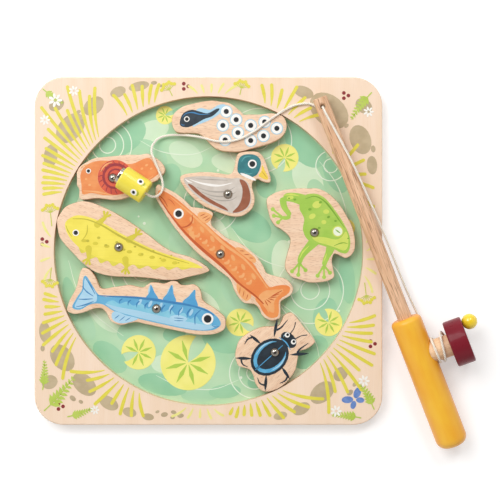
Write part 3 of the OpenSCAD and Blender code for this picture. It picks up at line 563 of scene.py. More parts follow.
@dataclass(frozen=True)
class Wood:
    """Sanded pale wood: soft year rings, fine fibres and short darker pore streaks along X.

    Attributes:
        pale, dark: colours of the early and the late wood; rings, fibres: how strongly the late wood shows.
        streak: colour of the pores; streaks: how strongly they show.
        ring_mm: spacing of the year rings; fibre_mm: width of a fibre; pore_mm: length and width of a pore.
        ply_mm: thickness of one ply on a cut edge, 0 for solid wood; ply_base: height of the lowest.
        own: the grain follows the piece's own frame; turn: degrees from X to the grain.
        rough: the middle of its roughness.
        ring_long, fibre_long: how many times longer than wide the rings' and the fibres' pattern is.
    """

    name: str
    pale: str
    dark: str
    streak: str
    rings: float = 1.0
    fibres: float = 0.35
    streaks: float = 0.5
    ring_mm: float = 9.0
    fibre_mm: float = 0.9
    pore_mm: tuple[float, float] = (6.0, 0.6)
    ply_mm: float = 0.0
    ply_base: float = 0.0
    own: bool = True
    turn: float = 0.0
    rough: float = 0.55
    ring_long: float = 14
    fibre_long: float = 40

    def build(self) -> bpy.types.Material:
        """Rings, then fibres, then pores, and plies on cut edges.

        Returns:
            The material.
        """
        r = Recipe(self.name)
        pale, dark, streak = linear(self.pale), linear(self.dark), linear(self.streak)
        ring, fibre, (long, wide) = self.ring_mm, self.fibre_mm, self.pore_mm
        broad = r.steps((self.ring_long * ring, ring, ring), self.own, self.turn)
        colour, _ = r.mottle(pale, dark, broad, (0.36, 0.66), self.rings, 3, 0.55)
        thin = r.steps((self.fibre_long * fibre, fibre, fibre), self.own, self.turn)
        colour, fine = r.mottle(colour, dark, thin, (0.42, 0.72), self.fibres, 2, 0.6)
        dash = r.steps((long, wide, wide), self.own, self.turn)
        colour, _ = r.mottle(colour, streak, dash, (0.56, 0.68), self.streaks, 1)
        if self.ply_mm:
            colour = self.plies(r, colour, dark, streak)
        r.surface(Base_Color=colour)
        r.dull(fine, self.rough - 0.06, self.rough + 0.08)
        r.relief(fine, 0.05, 0.5)
        return r.material

    def plies(self, r: Recipe, colour: Socket, dark: Colour, streak: Colour) -> Socket:
        """The colour with its plies on the cut edges, where the surface's normal lies flat.

        A ply's share of a pair is the height over the lowest ply, over two plies' thickness, and the
        end-grain ply is the darker one.

        Args:
            r: the recipe so far; colour: its colour.
            dark, streak: the two plies' colours.

        Returns:
            The new colour.
        """
        normal = r.add("NewGeometry", "Normal", {})
        steep = r.add("Math", 0, {0: r.add("SeparateXYZ", 2, {0: normal})}, operation="ABSOLUTE")
        height = r.add("SeparateXYZ", 2, {0: r.add("TexCoord", "Object", {})})
        low, high = self.ply_base * MM, (self.ply_base + 2 * self.ply_mm) * MM
        pair = r.add("MapRange", 0, {0: height, 1: low, 2: high}, clamp=False)
        wave = r.add("Math", 0, {0: pair, 1: 0.5}, operation="PINGPONG")
        band = r.add("MapRange", 0, {0: wave, 1: 0.2, 2: 0.3})
        cut = r.add("Mix", 2, {0: band, 6: dark, 7: streak}, data_type="RGBA")
        share = r.add("MapRange", 0, {0: steep, 1: 0.75, 2: 0.45, 3: 0.0, 4: 0.8})
        return r.add("Mix", 2, {0: share, 6: colour, 7: cut}, data_type="RGBA")


@dataclass(frozen=True)
class Ink:
    """Screen-printed ink on wood: flat colour, a little uneven, with the fibres showing through.

    Attributes:
        tone: the ink's colour; tint: a second tone that it drifts to.
        drift_mm: size of the patches where it drifts; drift: how far.
        grain: how strongly the wood's fibres show.
    """

    name: str
    tone: str
    tint: str | None = None
    drift_mm: float = 18.0
    drift: float = 0.5
    grain: float = 0.16

    def build(self) -> bpy.types.Material:
        """Drifting colour, then fibres. An ink without a tint drifts half as far, to a darker tone.

        Returns:
            The material.
        """
        r = Recipe(self.name)
        tone = linear(self.tone)
        tint, share = (linear(self.tint), self.drift) if self.tint else (darker(tone, 0.86), 0.5 * self.drift)
        colour, _ = r.mottle(tone, tint, r.steps((self.drift_mm,) * 3, False), (0.4, 0.62), share)
        along = r.steps((30, 0.8, 0.8), False)
        colour, fibre = r.mottle(colour, darker(tone, 0.72), along, (0.45, 0.75), self.grain, 2, 0.6)
        r.surface(Base_Color=colour)
        r.dull(fibre, 0.42, 0.54)
        r.relief(fibre, 0.03, 0.4)
        return r.material


@dataclass(frozen=True)
class Lacquer:
    """Sprayed gloss lacquer on turned wood: even colour, a clear wet gloss and a faint orange peel.

    Attributes:
        tone: the colour; deep: what it turns to where the coat is thicker, and the colour of the painted shade on the
            lower side.
        gloss: roughness under the clear coat; peel_mm: size of the orange peel.
        coat: weight of the clear coat; shine: of the gloss under it.
        painted_shade_mm: the height over the axis below which painted shade darkens the colour towards deep, fully at
            the axis and under it, 0 for none; painted_shade: how much.
    """

    name: str
    tone: str
    deep: str
    gloss: float = 0.32
    peel_mm: float = 3.0
    painted_shade_mm: float = 0.0
    painted_shade: float = 0.8
    coat: float = 0.6
    shine: float = 0.5

    def build(self) -> bpy.types.Material:
        """Thicker and thinner places, faint lines left by the lathe, painted shade on the lower side, and the peel.

        Returns:
            The material.
        """
        r = Recipe(self.name)
        tone, deep = linear(self.tone), linear(self.deep)
        colour, _ = r.mottle(tone, deep, r.steps((30, 12, 12), True), (0.35, 0.7), 0.45)
        colour, _ = r.mottle(colour, deep, r.steps((26, 1.2, 1.2), True), (0.5, 0.8), 0.16, 2, 0.6)
        # Painted shade: the colour darkens towards deep below a height over the axis, most at the axis and under it.
        if self.painted_shade_mm:
            own = r.add("Attribute", "Vector", {}, attribute_name="local")
            up = r.add("SeparateXYZ", 1, {0: own})
            shade_amount = r.add("MapRange", 0, {0: up, 1: self.painted_shade_mm * MM, 2: 0.0, 3: 0.0, 4: self.painted_shade})
            colour = r.add("Mix", 2, {0: shade_amount, 6: colour, 7: deep}, data_type="RGBA")
        peel = r.add("TexNoise", "Fac", {"Vector": r.steps((self.peel_mm,) * 3, True), "Scale": 1.0, "Detail": 1.0})
        r.surface(Base_Color=colour, Coat_Weight=self.coat, Coat_Roughness=0.08, Specular_IOR_Level=self.shine)
        r.dull(peel, self.gloss - 0.04, self.gloss + 0.05)
        r.relief(peel, 0.02, 0.35)
        return r.material


@dataclass(frozen=True)
class Metal:
    """Polished or plated metal with fine handling scratches.

    Attributes:
        tone: its reflection's colour; rough: how much it blurs; worn: how much more in the scratches.
    """

    name: str
    tone: str
    rough: float = 0.2
    worn: float = 0.12

    def build(self) -> bpy.types.Material:
        """Faint clouds, and scratches 0.12 mm wide across them.

        Returns:
            The material.
        """
        r = Recipe(self.name)
        tone = linear(self.tone)
        colour, cloud = r.mottle(tone, darker(tone, 0.72), r.steps((2.2, 2.2, 2.2), False), (0.4, 0.75), 0.5)
        at = r.steps((2.5, 0.12, 0.12), False, 35)
        scratch = r.add("TexNoise", "Fac", {"Vector": at, "Scale": 1.0, "Detail": 3.0, "Roughness": 0.7})
        more = r.add("MapRange", 0, {0: scratch, 1: 0.45, 2: 0.75, 3: 0.0, 4: self.worn})
        blur = r.add("MapRange", 0, {0: cloud, 1: NOISE_LOW, 2: NOISE_HIGH, 3: self.rough, 4: self.rough + 0.06})
        r.surface(Base_Color=colour, Metallic=1.0, Roughness=r.add("Math", 0, {0: more, 1: blur}))
        r.relief(scratch, 0.01, 0.3)
        return r.material


@dataclass(frozen=True)
class Cotton:
    """Twisted cotton cord: matt cream yarn, with painted shade down in the grooves between its strands.

    Attributes:
        tone: the yarn's colour; groove_shade: the colour of the painted shade between the strands, which loose hairs
            take too.
        hair: how many hairs lie along the cord, and round it.
    """

    name: str
    tone: str
    groove_shade: str
    hair: tuple[float, float] = (900.0, 9.0)

    def build(self) -> bpy.types.Material:
        """Painted shade in the grooves by their depth, then loose hairs.

        Returns:
            The material.
        """
        r = Recipe(self.name)
        tone, groove_shade = linear(self.tone), linear(self.groove_shade)
        deep = r.add("Attribute", "Fac", {}, attribute_name="groove_shade")
        # Painted shade: the deeper a point lies between the strands, the nearer its colour goes to the shade colour.
        share = r.add("MapRange", 0, {0: deep, 1: 0.3, 2: 1.0})
        colour = r.add("Mix", 2, {0: share, 6: tone, 7: groove_shade}, data_type="RGBA")
        at = r.add("Mapping", 0, {"Vector": r.add("UVMap", 0, {}, uv_map="UVMap"), "Scale": (*self.hair, 1.0)})
        hair = r.add("TexNoise", "Fac", {"Vector": at, "Scale": 1.0, "Detail": 3.0, "Roughness": 0.7})
        loose = r.add("MapRange", 0, {0: hair, 1: 0.5, 2: 0.8, 3: 0.0, 4: 0.2})
        colour = r.add("Mix", 2, {0: loose, 6: colour, 7: groove_shade}, data_type="RGBA")
        r.surface(Base_Color=colour, Roughness=0.9, Sheen_Weight=0.25)
        r.relief(hair, 0.05, 0.5)
        return r.material


Finish = Wood | Ink | Lacquer | Metal | Cotton


# Making pieces

# Degrees past which an edge stays sharp, unless a piece says otherwise.
SHARP = 35.0


class Workshop:
    """Makes meshes into pieces, and keeps each finish's material so that pieces share it."""

    def __init__(self, frame: dict[str, object]) -> None:
        """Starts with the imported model's nodes."""
        self.nodes: dict[str, bpy.types.Object] = frame["nodes"]
        self.kept: dict[object, bpy.types.Material] = {}

    def material(self, finish: Finish) -> bpy.types.Material:
        """The finish's material, built once."""
        if finish not in self.kept:
            self.kept[finish] = finish.build()
        return self.kept[finish]

    def piece(
        self,
        name: str,
        shell: Shell,
        finish: Finish,
        replaces: tuple[str, ...] = (),
        body: Body = Body.BOARD,
        sharp: float = SHARP,
    ) -> bpy.types.Object:
        """Makes a piece that rides on a body.

        Args:
            name: the piece's name.
            shell: its closed surface.
            finish: its material.
            replaces: the CAD nodes that it stands for.
            body: the body that it moves with.
            sharp: the angle in degrees past which an edge stays sharp.

        Returns:
            The piece's object.
        """
        mesh = shell.mesh(name)
        own = mesh.attributes.new("local", "FLOAT_VECTOR", "POINT")
        own.data.foreach_set("vector", (shell.local * MM).astype(np.float32).ravel())
        mesh.shade_smooth()
        mesh.set_sharp_from_angle(angle=math.radians(sharp))
        made = bpy.data.objects.new(name, mesh)
        bpy.context.scene.collection.objects.link(made)
        mesh.materials.append(self.material(finish))
        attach(made, body.value)
        if replaces:
            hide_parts(*replaces)
        log.info("%s: %d faces on %s", name, len(mesh.polygons), body.value)
        return made

    def dress(self, name: str, finish: Finish) -> None:
        """Gives a CAD node its material.

        Args:
            name: the node's name.
            finish: its material.
        """
        node = self.nodes[name]
        if not node.material_slots:
            raise ValueError(f"{name} has no material slot")
        for place in node.material_slots:
            place.link = "OBJECT"
            place.material = self.material(finish)
        log.info("%s: CAD node dressed as %s", name, finish.name)

    def bored(self, made: bpy.types.Object, cutters: list[Shell], frame: Frame) -> None:
        """Cuts closed shells out of a piece and keeps the result as its mesh.

        The points' places in the piece's own frame are worked out again as (point - origin) . axes.

        Args:
            made: the piece.
            cutters: the shells.
            frame: the piece's own frame.
        """
        for k, shell in enumerate(cutters):
            tool = bpy.data.objects.new(f"cutter_{k}", shell.mesh("cutter"))
            bpy.context.scene.collection.objects.link(tool)
            cut = made.modifiers.new(f"cut_{k}", "BOOLEAN")
            cut.object, cut.operation, cut.solver = tool, "DIFFERENCE", "EXACT"
        bpy.context.view_layer.update()
        graph = bpy.context.evaluated_depsgraph_get()
        result = bpy.data.meshes.new_from_object(
            made.evaluated_get(graph), preserve_all_data_layers=True, depsgraph=graph)
        tools = [m.object for m in made.modifiers]
        made.modifiers.clear()
        made.data = result
        for tool in tools:
            bpy.data.objects.remove(tool)
        points = np.zeros(3 * len(result.vertices), np.float32)
        result.vertices.foreach_get("co", points)
        local = (points.reshape(-1, 3) - frame.origin * MM) @ frame.axes.T
        own = result.attributes.get("local") or result.attributes.new("local", "FLOAT_VECTOR", "POINT")
        own.data.foreach_set("vector", local.astype(np.float32).ravel())
        result.set_sharp_from_angle(angle=math.radians(SHARP))


# Finishes of this object. Each comment says what the real one is and what it gives the eye.

# Basswood plywood under thin matt lacquer: an almost plain pinkish cream with faint upright streaks.
BOARD_WOOD = Wood(
    "basswood_plywood", "#F6DDC6", "#EED0B0", "#DDB48C", 0.5, 0.16, 0.1, 12, 1.1, (16, 0.8), 1.35, 0.0, False, 90)
# Beech plywood, sawn and sanded: warm pink wood with fine flecks, and brown plies round its edges.
PIECE_WOOD = Wood(
    "beech_plywood", "#F6D8BB", "#E9C19F", "#B98560", 0.8, 0.4, 0.5, 7, 0.9, (5, 0.7), 1.3, PIECE_Z)
# Turned beech dowel: pinkish brown with long dark stripes along it.
ROD_WOOD = Wood("turned_beech", "#F0C7A3", "#D9A982", "#8C5A3A", 1.0, 0.5, 0.8, 3.6, 0.8, (14, 0.7))
# The same beech on the reel's drum and peg: end grain, paler and plainer.
DRUM_WOOD = Wood("turned_beech_drum", "#F8D5AE", "#E9BD92", "#B07C58", 0.8, 0.4, 0.4, 4.2, 0.8, (8, 0.7))
# Orange-yellow lacquer with painted shade, which turns it orange towards the lower side: yellow on top and orange at
# the sides.
HANDLE_LACQUER = Lacquer("amber_lacquer", "#FAC23C", "#EF9728", 0.36, painted_shade_mm=13.5, painted_shade=0.85, coat=0.25, shine=0.35)
# Dark red gloss lacquer: deep, with small crisp highlights on its rim.
DISC_LACQUER = Lacquer("maroon_lacquer", "#7E222E", "#6C1A26", 0.3, coat=0.12, shine=0.1)
# Yellow gloss lacquer on the ball: one small highlight.
KNOB_LACQUER = Lacquer("yellow_lacquer", "#FDE034", "#F8CC27", 0.26)
# Pale yellow lacquer on the bait: even, with a long soft highlight.
BAIT_LACQUER = Lacquer("lemon_lacquer", "#F4E352", "#EAD53A", 0.36, coat=0.3, shine=0.4)
# Nickel-plated steel, polished on the dome: a small mirror.
STUD_STEEL = Metal("nickel_plated_stud", "#A29B91", 0.04, 0.04)
# Zinc-plated screw: greyer and duller.
SCREW_STEEL = Metal("zinc_plated_steel", "#A9A8A4", 0.28)
# Nickel plate on the magnet: bright and smooth, with a warm cast.
MAGNET_NICKEL = Metal("nickel_plate", "#CFC9C0", 0.1, 0.06)
# Twisted cotton: bright cream strands with brown painted shade between them.
CORD_COTTON = Cotton("cotton_cord", "#FEFAF2", "#D9C9AE")

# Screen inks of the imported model's prints, by node: flat and matt, with the wood's fibres showing through.
INKS: dict[str, Ink] = {
    "pond_water": Ink("water_ink", "#BFE0B8", "#A6D6AC", 42, 0.9, 0.05),
    "pond_depths": Ink("deep_water_ink", "#93CBA3", "#A9D8B0", 30, 0.6, 0.05),
    "pond_ripples": Ink("ripple_ink", "#E6F4DE", grain=0.03),
    "lily_pads": Ink("leaf_ink", "#F6F08A", "#EDE972", 14, 0.5, 0.05),
    "shore_stones": Ink("stone_ink", "#C6B391", "#B8A582", 9, 0.8),
    "shore_blossoms": Ink("blossom_ink", "#FAF7EF", grain=0.05),
    "shore_berries": Ink("berry_ink", "#8E2C2E"),
    "shore_butterfly": Ink("butterfly_ink", "#6283C2", "#7B98D0", 4, 0.7),
    "tadpole_print": Ink("tadpole_ink", "#222E38", "#31404C", 6, 0.7),
    "spawn_print": Ink("spawn_ink", "#A9D0E2", "#BCDCE9", 6, 0.6),
    "duck_head_print": Ink("duck_head_ink", "#368085", "#2B6E76", 7, 0.8),
    "duck_body_print": Ink("duck_body_ink", "#CBC0B4", "#D9CFC5", 9, 0.8),
    "duck_breast_print": Ink("duck_breast_ink", "#94563A", "#A5654A", 6, 0.7),
    "duck_bill_print": Ink("duck_bill_ink", "#F4D24E"),
    "frog_print": Ink("frog_ink", "#A1C94E", "#B3D35C", 15, 0.7),
    "frog_spot_print": Ink("frog_spot_ink", "#D4E068", "#C8DA5A", 7, 0.6),
    "beetle_print": Ink("beetle_ink", "#1B252E", "#2A3843", 7, 0.7),
    "beetle_wing_print": Ink("beetle_wing_ink", "#4FA3CF", "#6DB6DA", 6, 0.7),
    "pike_print": Ink("pike_ink", "#E98545", "#EE9955", 13, 0.8),
    "pike_fin_print": Ink("pike_fin_ink", "#F0AA6A"),
    "newt_print": Ink("newt_ink", "#F4E45C", "#EBDA4C", 14, 0.7),
    "newt_leg_print": Ink("newt_leg_ink", "#D9CB3F", "#CFC03A", 8, 0.6),
    "stickleback_print": Ink("stickleback_ink", "#5BA7D1", "#6DB4D8", 12, 0.7),
    "stickleback_fin_print": Ink("stickleback_fin_ink", "#A9D2E8"),
    "snail_shell_print": Ink("snail_shell_ink", "#DD6040", "#CC4C3C", 8, 0.8),
    "snail_spiral_print": Ink("snail_spiral_ink", "#9E3238", "#8B2A33", 5, 0.6),
    "snail_body_print": Ink("snail_body_ink", "#E88A4C", "#EE9C5C", 8, 0.7),
    "white_print": Ink("white_ink", "#F8F5F0", grain=0.04),
    "black_print": Ink("black_ink", "#14181C", grain=0.04),
}


# The rod's own frame: X to the reel's side, Y from the butt to the tip, Z up


@dataclass(frozen=True)
class RodPose:
    """How the rod lies: rolled about its length, sloped up over the board's edge, and turned."""

    butt: tuple[float, float, float] = (211.5, -167.5, 13.26316)
    roll: float = 8.564168
    slope: float = 1.679555
    turn: float = 21.3

    def frame(self) -> Frame:
        """The axes rolled about Y, then tilted about X, then turned about Z.

        Returns:
            The rod's frame.
        """
        (ca, sa), (cb, sb) = heading(self.roll), heading(self.slope)
        roll = np.array([[ca, 0, sa], [0, 1, 0], [-sa, 0, ca]])
        tilt = np.array([[1, 0, 0], [0, cb, sb], [0, -sb, cb]])
        return Frame(np.array(self.butt), roll @ tilt @ spin_z(self.turn))


ROD = RodPose().frame()
# The same with X along the rod, for shapes that are turned about it.
ALONG_ROD = ROD.moved((0, 0, 0), (1, 2, 0))
# How far a cutter stands past the face that it goes in through.
PAST = 1.0


@dataclass
class Cord:
    """The cotton cord from the reel along the rod, through its hole and over the board to the bait.

    Attributes:
        diameter: of the cord; length: of all of it, not used; pitch: length in which its strands turn once round.
        touch: distance of the strands' middles from the cord's over a strand's radius, where they touch.
        core: share of the radius that the grooves never go under; sides: points round the cord.
        knot_size, knot_r: of the knot's curve and of its cord, drawn tight.
        reel_at, hole_at: distances of the reel's axis and of the cord's hole from the butt.
        drawn_hole: the hole's distance from the reel's axis in the points of along_rod.
        wind_out, wind_r: along the windings' angle, how far out from the rod they lie, and their radius.
        along_rod, free: points beside the rod, in its own frame, and over the board.
    """

    diameter: float = 2.2
    pitch: float = 5.4
    strands: int = 3
    touch: float = 1.1547
    core: float = 0.66
    sides: int = 18
    knot_size: float = 0.56
    knot_r: float = 0.78
    reel_at: float = 83.0
    hole_at: float = 311.8
    drawn_hole: float = 230.5
    length: float = 0.61
    wind_out: tuple[tuple[float, float], ...] = (
        (-70, 26.4), (0, 23.8), (180, 18.9), (360, 14.4), (450, 15), (540, 15), (630, 12.6))
    wind_r: tuple[tuple[float, float], ...] = ((-70, 11.2), (0, 13.2), (80, 11.4), (180, 10.9), (630, 10.9))
    along_rod: tuple[tuple[float, float, float], ...] = (
        (12.3, 10, -11), (11.9, 20, -11.1), (11.2, 30, -10.4), (10.5, 40, -9.8), (9.6, 58, -8.4),
        (9.4, 76, -7.5), (9.4, 92, -6.6), (9.3, 106, -5.7), (8.7, 123, -3.5), (7.9, 141, -0.8),
        (7.2, 159, 2.1), (6.3, 174, 4.2), (5, 188, 5.7), (3.3, 202, 6.9), (0.9, 220, 7.6),
        (0.1, 227.5, 7.1), (0, 229.7, 5.2), (0, 230.5, 2.5), (0, 230.6, -1.5), (-0.2, 230.9, -4.6),
        (-1.2, 231.6, -7), (-3.2, 232.6, -8.3), (-5.9, 234, -8.5))
    free: tuple[tuple[float, float, float], ...] = (
        (87, 126.8, 13.4), (80, 126.6, 13.4), (73, 124.9, 13.5), (66, 121.6, 14), (60, 117.7, 14.6),
        (54, 113.7, 14.9), (48, 109.2, 14.9), (42, 104.6, 14.9), (36, 100.8, 14.9), (30, 97.6, 14.9),
        (22, 94.9, 14.9), (13, 94, 14.9), (5, 94.8, 14.9), (-4, 97.2, 14.4), (-12, 98.9, 13),
        (-20, 100, 10.8), (-28, 100.4, 8.6), (-36, 100, 7.3), (-43, 97.6, 7.6), (-47.4, 93, 9.3),
        (-49, 88.4, 11.8), (-48.6, 83.6, 14.1), (-46.5, 78.4, 14.9), (-44, 72.4, 14.9), (-41.3, 66, 14.9),
        (-39.5, 59.5, 14.9), (-39.3, 53.5, 15.4), (-41.8, 48.6, 17.6), (-45.6, 46.4, 20.6),
        (-49.4, 46.9, 23), (-52.8, 49, 24), (-56, 51.1, 24.1), (-58.6, 52.8, 24.1))

    def route(self) -> Array:
        """The route's points: windings round the reel, then along the rod, then over the board.

        Returns:
            (n, 3) control points.
        """
        a = np.arange(self.wind_out[0][0], self.wind_out[-1][0] + 1, 30.0)
        out, r = (np.interp(a, *np.array(t, float).T) for t in (self.wind_out, self.wind_r))
        turns = np.stack([out, self.reel_at + r * np.cos(np.radians(a)), r * np.sin(np.radians(a))], 1)
        stretch = (self.hole_at - self.reel_at) / self.drawn_hole
        rod = np.array(self.along_rod) * [1, stretch, 1] + [0, self.reel_at, 0]
        return np.concatenate([ROD.place(turns), ROD.place(rod), np.array(self.free)])

    def shell(self) -> tuple[Shell, Array, Array]:
        """The cord's surface, its centreline, and how deep between the strands each point lies, for its painted shade.

        Each ring's radius goes round as a circle on each strand's circle: c cos a + sqrt(s^2 - c^2 sin^2 a),
        for strands of radius s at c from the middle and a the angle from the nearest strand, and the
        strands turn once round in each pitch.

        Returns:
            The surface, (n, 3) points, and a value from 0 to 1 for each point of the surface.
        """
        line = spaced(curve(self.route(), 12, False), self.pitch / 13)
        side, up = transported(line)
        t = round_angles(self.sides)
        third = 2 * math.pi / self.strands
        a = (t[None] + third / 2 - distances(line)[:, None] * 2 * math.pi / self.pitch) % third - third / 2
        strand = self.diameter / 2 / (1 + self.touch)
        centre = self.touch * strand
        r = centre * np.cos(a) + np.sqrt(np.maximum(strand**2 - (centre * np.sin(a)) ** 2, 0))
        r = np.maximum(r, self.core * self.diameter / 2)
        round_it = np.cos(t)[:, None] * side[:, None] + np.sin(t)[:, None] * up[:, None]
        rings = line[:, None] + r[..., None] * round_it
        # How deep between the strands each point lies, from 0 to 1, which the material paints as shade.
        groove_shade = np.append((1 - r / r.max()).ravel() / (1 - r.min() / r.max()), [0.5, 0.5])
        return tube(rings, ends=(line[0], line[-1])), line, groove_shade

    def knot(self, at: Array) -> Shell:
        """An overhand knot: a tube along (sin t + 2 sin 2t, cos t - 2 cos 2t, -sin 3t), times its size.

        Args:
            at: its middle.

        Returns:
            The knot's surface.
        """
        t = round_angles(72)
        line = np.stack([np.sin(t) + 2 * np.sin(2 * t), np.cos(t) - 2 * np.cos(2 * t), -np.sin(3 * t)], 1)
        line = self.knot_size * line @ np.eye(3)[[1, 2, 0]]
        run = unit(np.roll(line, -1, 0) - np.roll(line, 1, 0))
        side = unit(np.cross(run, unit(line)))
        a = round_angles(10)[None, :, None]
        rings = line[:, None] + self.knot_r * (np.cos(a) * side[:, None] + np.sin(a) * np.cross(run, side)[:, None])
        return loop(rings, at + rings.reshape(-1, 3) @ ROD.axes)

    def build(self, shop: Workshop) -> None:
        """Args:
            shop: makes the pieces.
        """
        shell, line, groove_shade = self.shell()
        made = shop.piece("cord_twist", shell, CORD_COTTON, ("cord",), sharp=60)
        depth = made.data.attributes.new("groove_shade", "FLOAT", "POINT")
        depth.data.foreach_set("value", groove_shade.astype(np.float32))
        self.unwrap(made, len(line))
        knot = shop.piece("cord_knot", self.knot(line[0]), CORD_COTTON, sharp=80)
        knot.data.uv_layers.new(name="UVMap")

    def unwrap(self, made: bpy.types.Object, rings: int) -> None:
        """Gives the cord a UV map: along its length, and round it.

        Args:
            made: the cord.
            rings: how many rings of points it has.
        """
        mesh = made.data
        corners = np.zeros(len(mesh.loops), np.int32)
        mesh.loops.foreach_get("vertex_index", corners)
        segments = (len(mesh.vertices) - 2) // rings
        uv = np.stack([corners // segments / rings, corners % segments / segments], 1)
        mesh.uv_layers.new(name="UVMap").data.foreach_set("uv", uv.astype(np.float32).ravel())


def mouth(end: float, bore: float, r: float) -> Array:
    """The rounded edge of a bore in a bar's end face, with a fillet r."""
    return corner((end - r, bore + r), r, 0, -90, 4)


def plug(low: float, high: float, r: float) -> Array:
    """The profile of a plain round cutter."""
    return from_axis(low, [[low, r], [high, r]], end=high)


@dataclass
class Rod:
    """The beech dowel and its lacquered handle.

    Attributes:
        length, dowel_d, handle_d, handle_length, socket: main sizes of the rod.
        butt_r, shoulder_r, tip_r, foot_r: roundings of the handle's two ends and of the dowel's.
        fit, lip_r: the socket's slack round the dowel, and the rounding of its mouth.
        hole_d, hole_in, sink: the cord's hole, its distance from the tip and its countersink.
    """

    length: float = 320.0
    dowel_d: float = 12.5
    handle_d: float = 27.0
    handle_length: float = 118.0
    socket: float = 24.0
    butt_r: float = 8.0
    shoulder_r: float = 4.4
    tip_r: float = 0.6
    foot_r: float = 0.3
    fit: float = 0.02
    lip_r: float = 0.5
    hole_d: float = 4.4
    hole_in: float = 8.2
    sink: float = 1.4

    def handle(self, shop: Workshop) -> None:
        """Makes the handle: a bar with round ends, its dowel's socket, and the seat bored for the drum.

        Args:
            shop: makes the piece.
        """
        r, bore = self.handle_d / 2, self.dowel_d / 2 + self.fit
        side = bar_side(r, self.handle_length, self.butt_r, self.shoulder_r, 24)
        floor = self.handle_length - self.socket
        lip = mouth(self.handle_length, bore, self.lip_r)
        whole = revolve(from_axis(0, side[:-1], lip, [[floor, bore]], end=floor), ALONG_ROD, 128)
        made = shop.piece("handle_lacquered", whole, HANDLE_LACQUER, ("handle",))
        reel = Reel()
        seat = plug(r - reel.seat, r + 5 * PAST, reel.drum_d / 2 + reel.gap)
        shop.bored(made, [revolve(seat, ROD.moved((0, reel.at, 0)), 96)], ALONG_ROD)

    def dowel(self, shop: Workshop) -> None:
        """Makes the dowel with eased ends, and the countersunk hole for the cord.

        Args:
            shop: makes the piece.
        """
        start, r = self.handle_length - self.socket, self.dowel_d / 2
        side = bar_side(r, self.length - start, self.foot_r, self.tip_r, 30) + [start, 0]
        whole = revolve(from_axis(start, side, end=self.length), ALONG_ROD, 96)
        made = shop.piece("dowel_turned", whole, ROD_WOOD, ("rod_dowel",))
        bore, out = self.hole_d / 2, r + self.sink
        half = np.array([[r - self.sink, bore], [out, bore + 2 * self.sink]])
        hole = from_axis(-out, -half[::-1] * [1, -1], half, end=out)
        up = ROD.moved((0, self.length - self.hole_in, 0), (2, 0, 1))
        shop.bored(made, [revolve(hole, up, 48)], ALONG_ROD)

    def build(self, shop: Workshop) -> None:
        """Makes both."""
        self.handle(shop)
        self.dowel(shop)


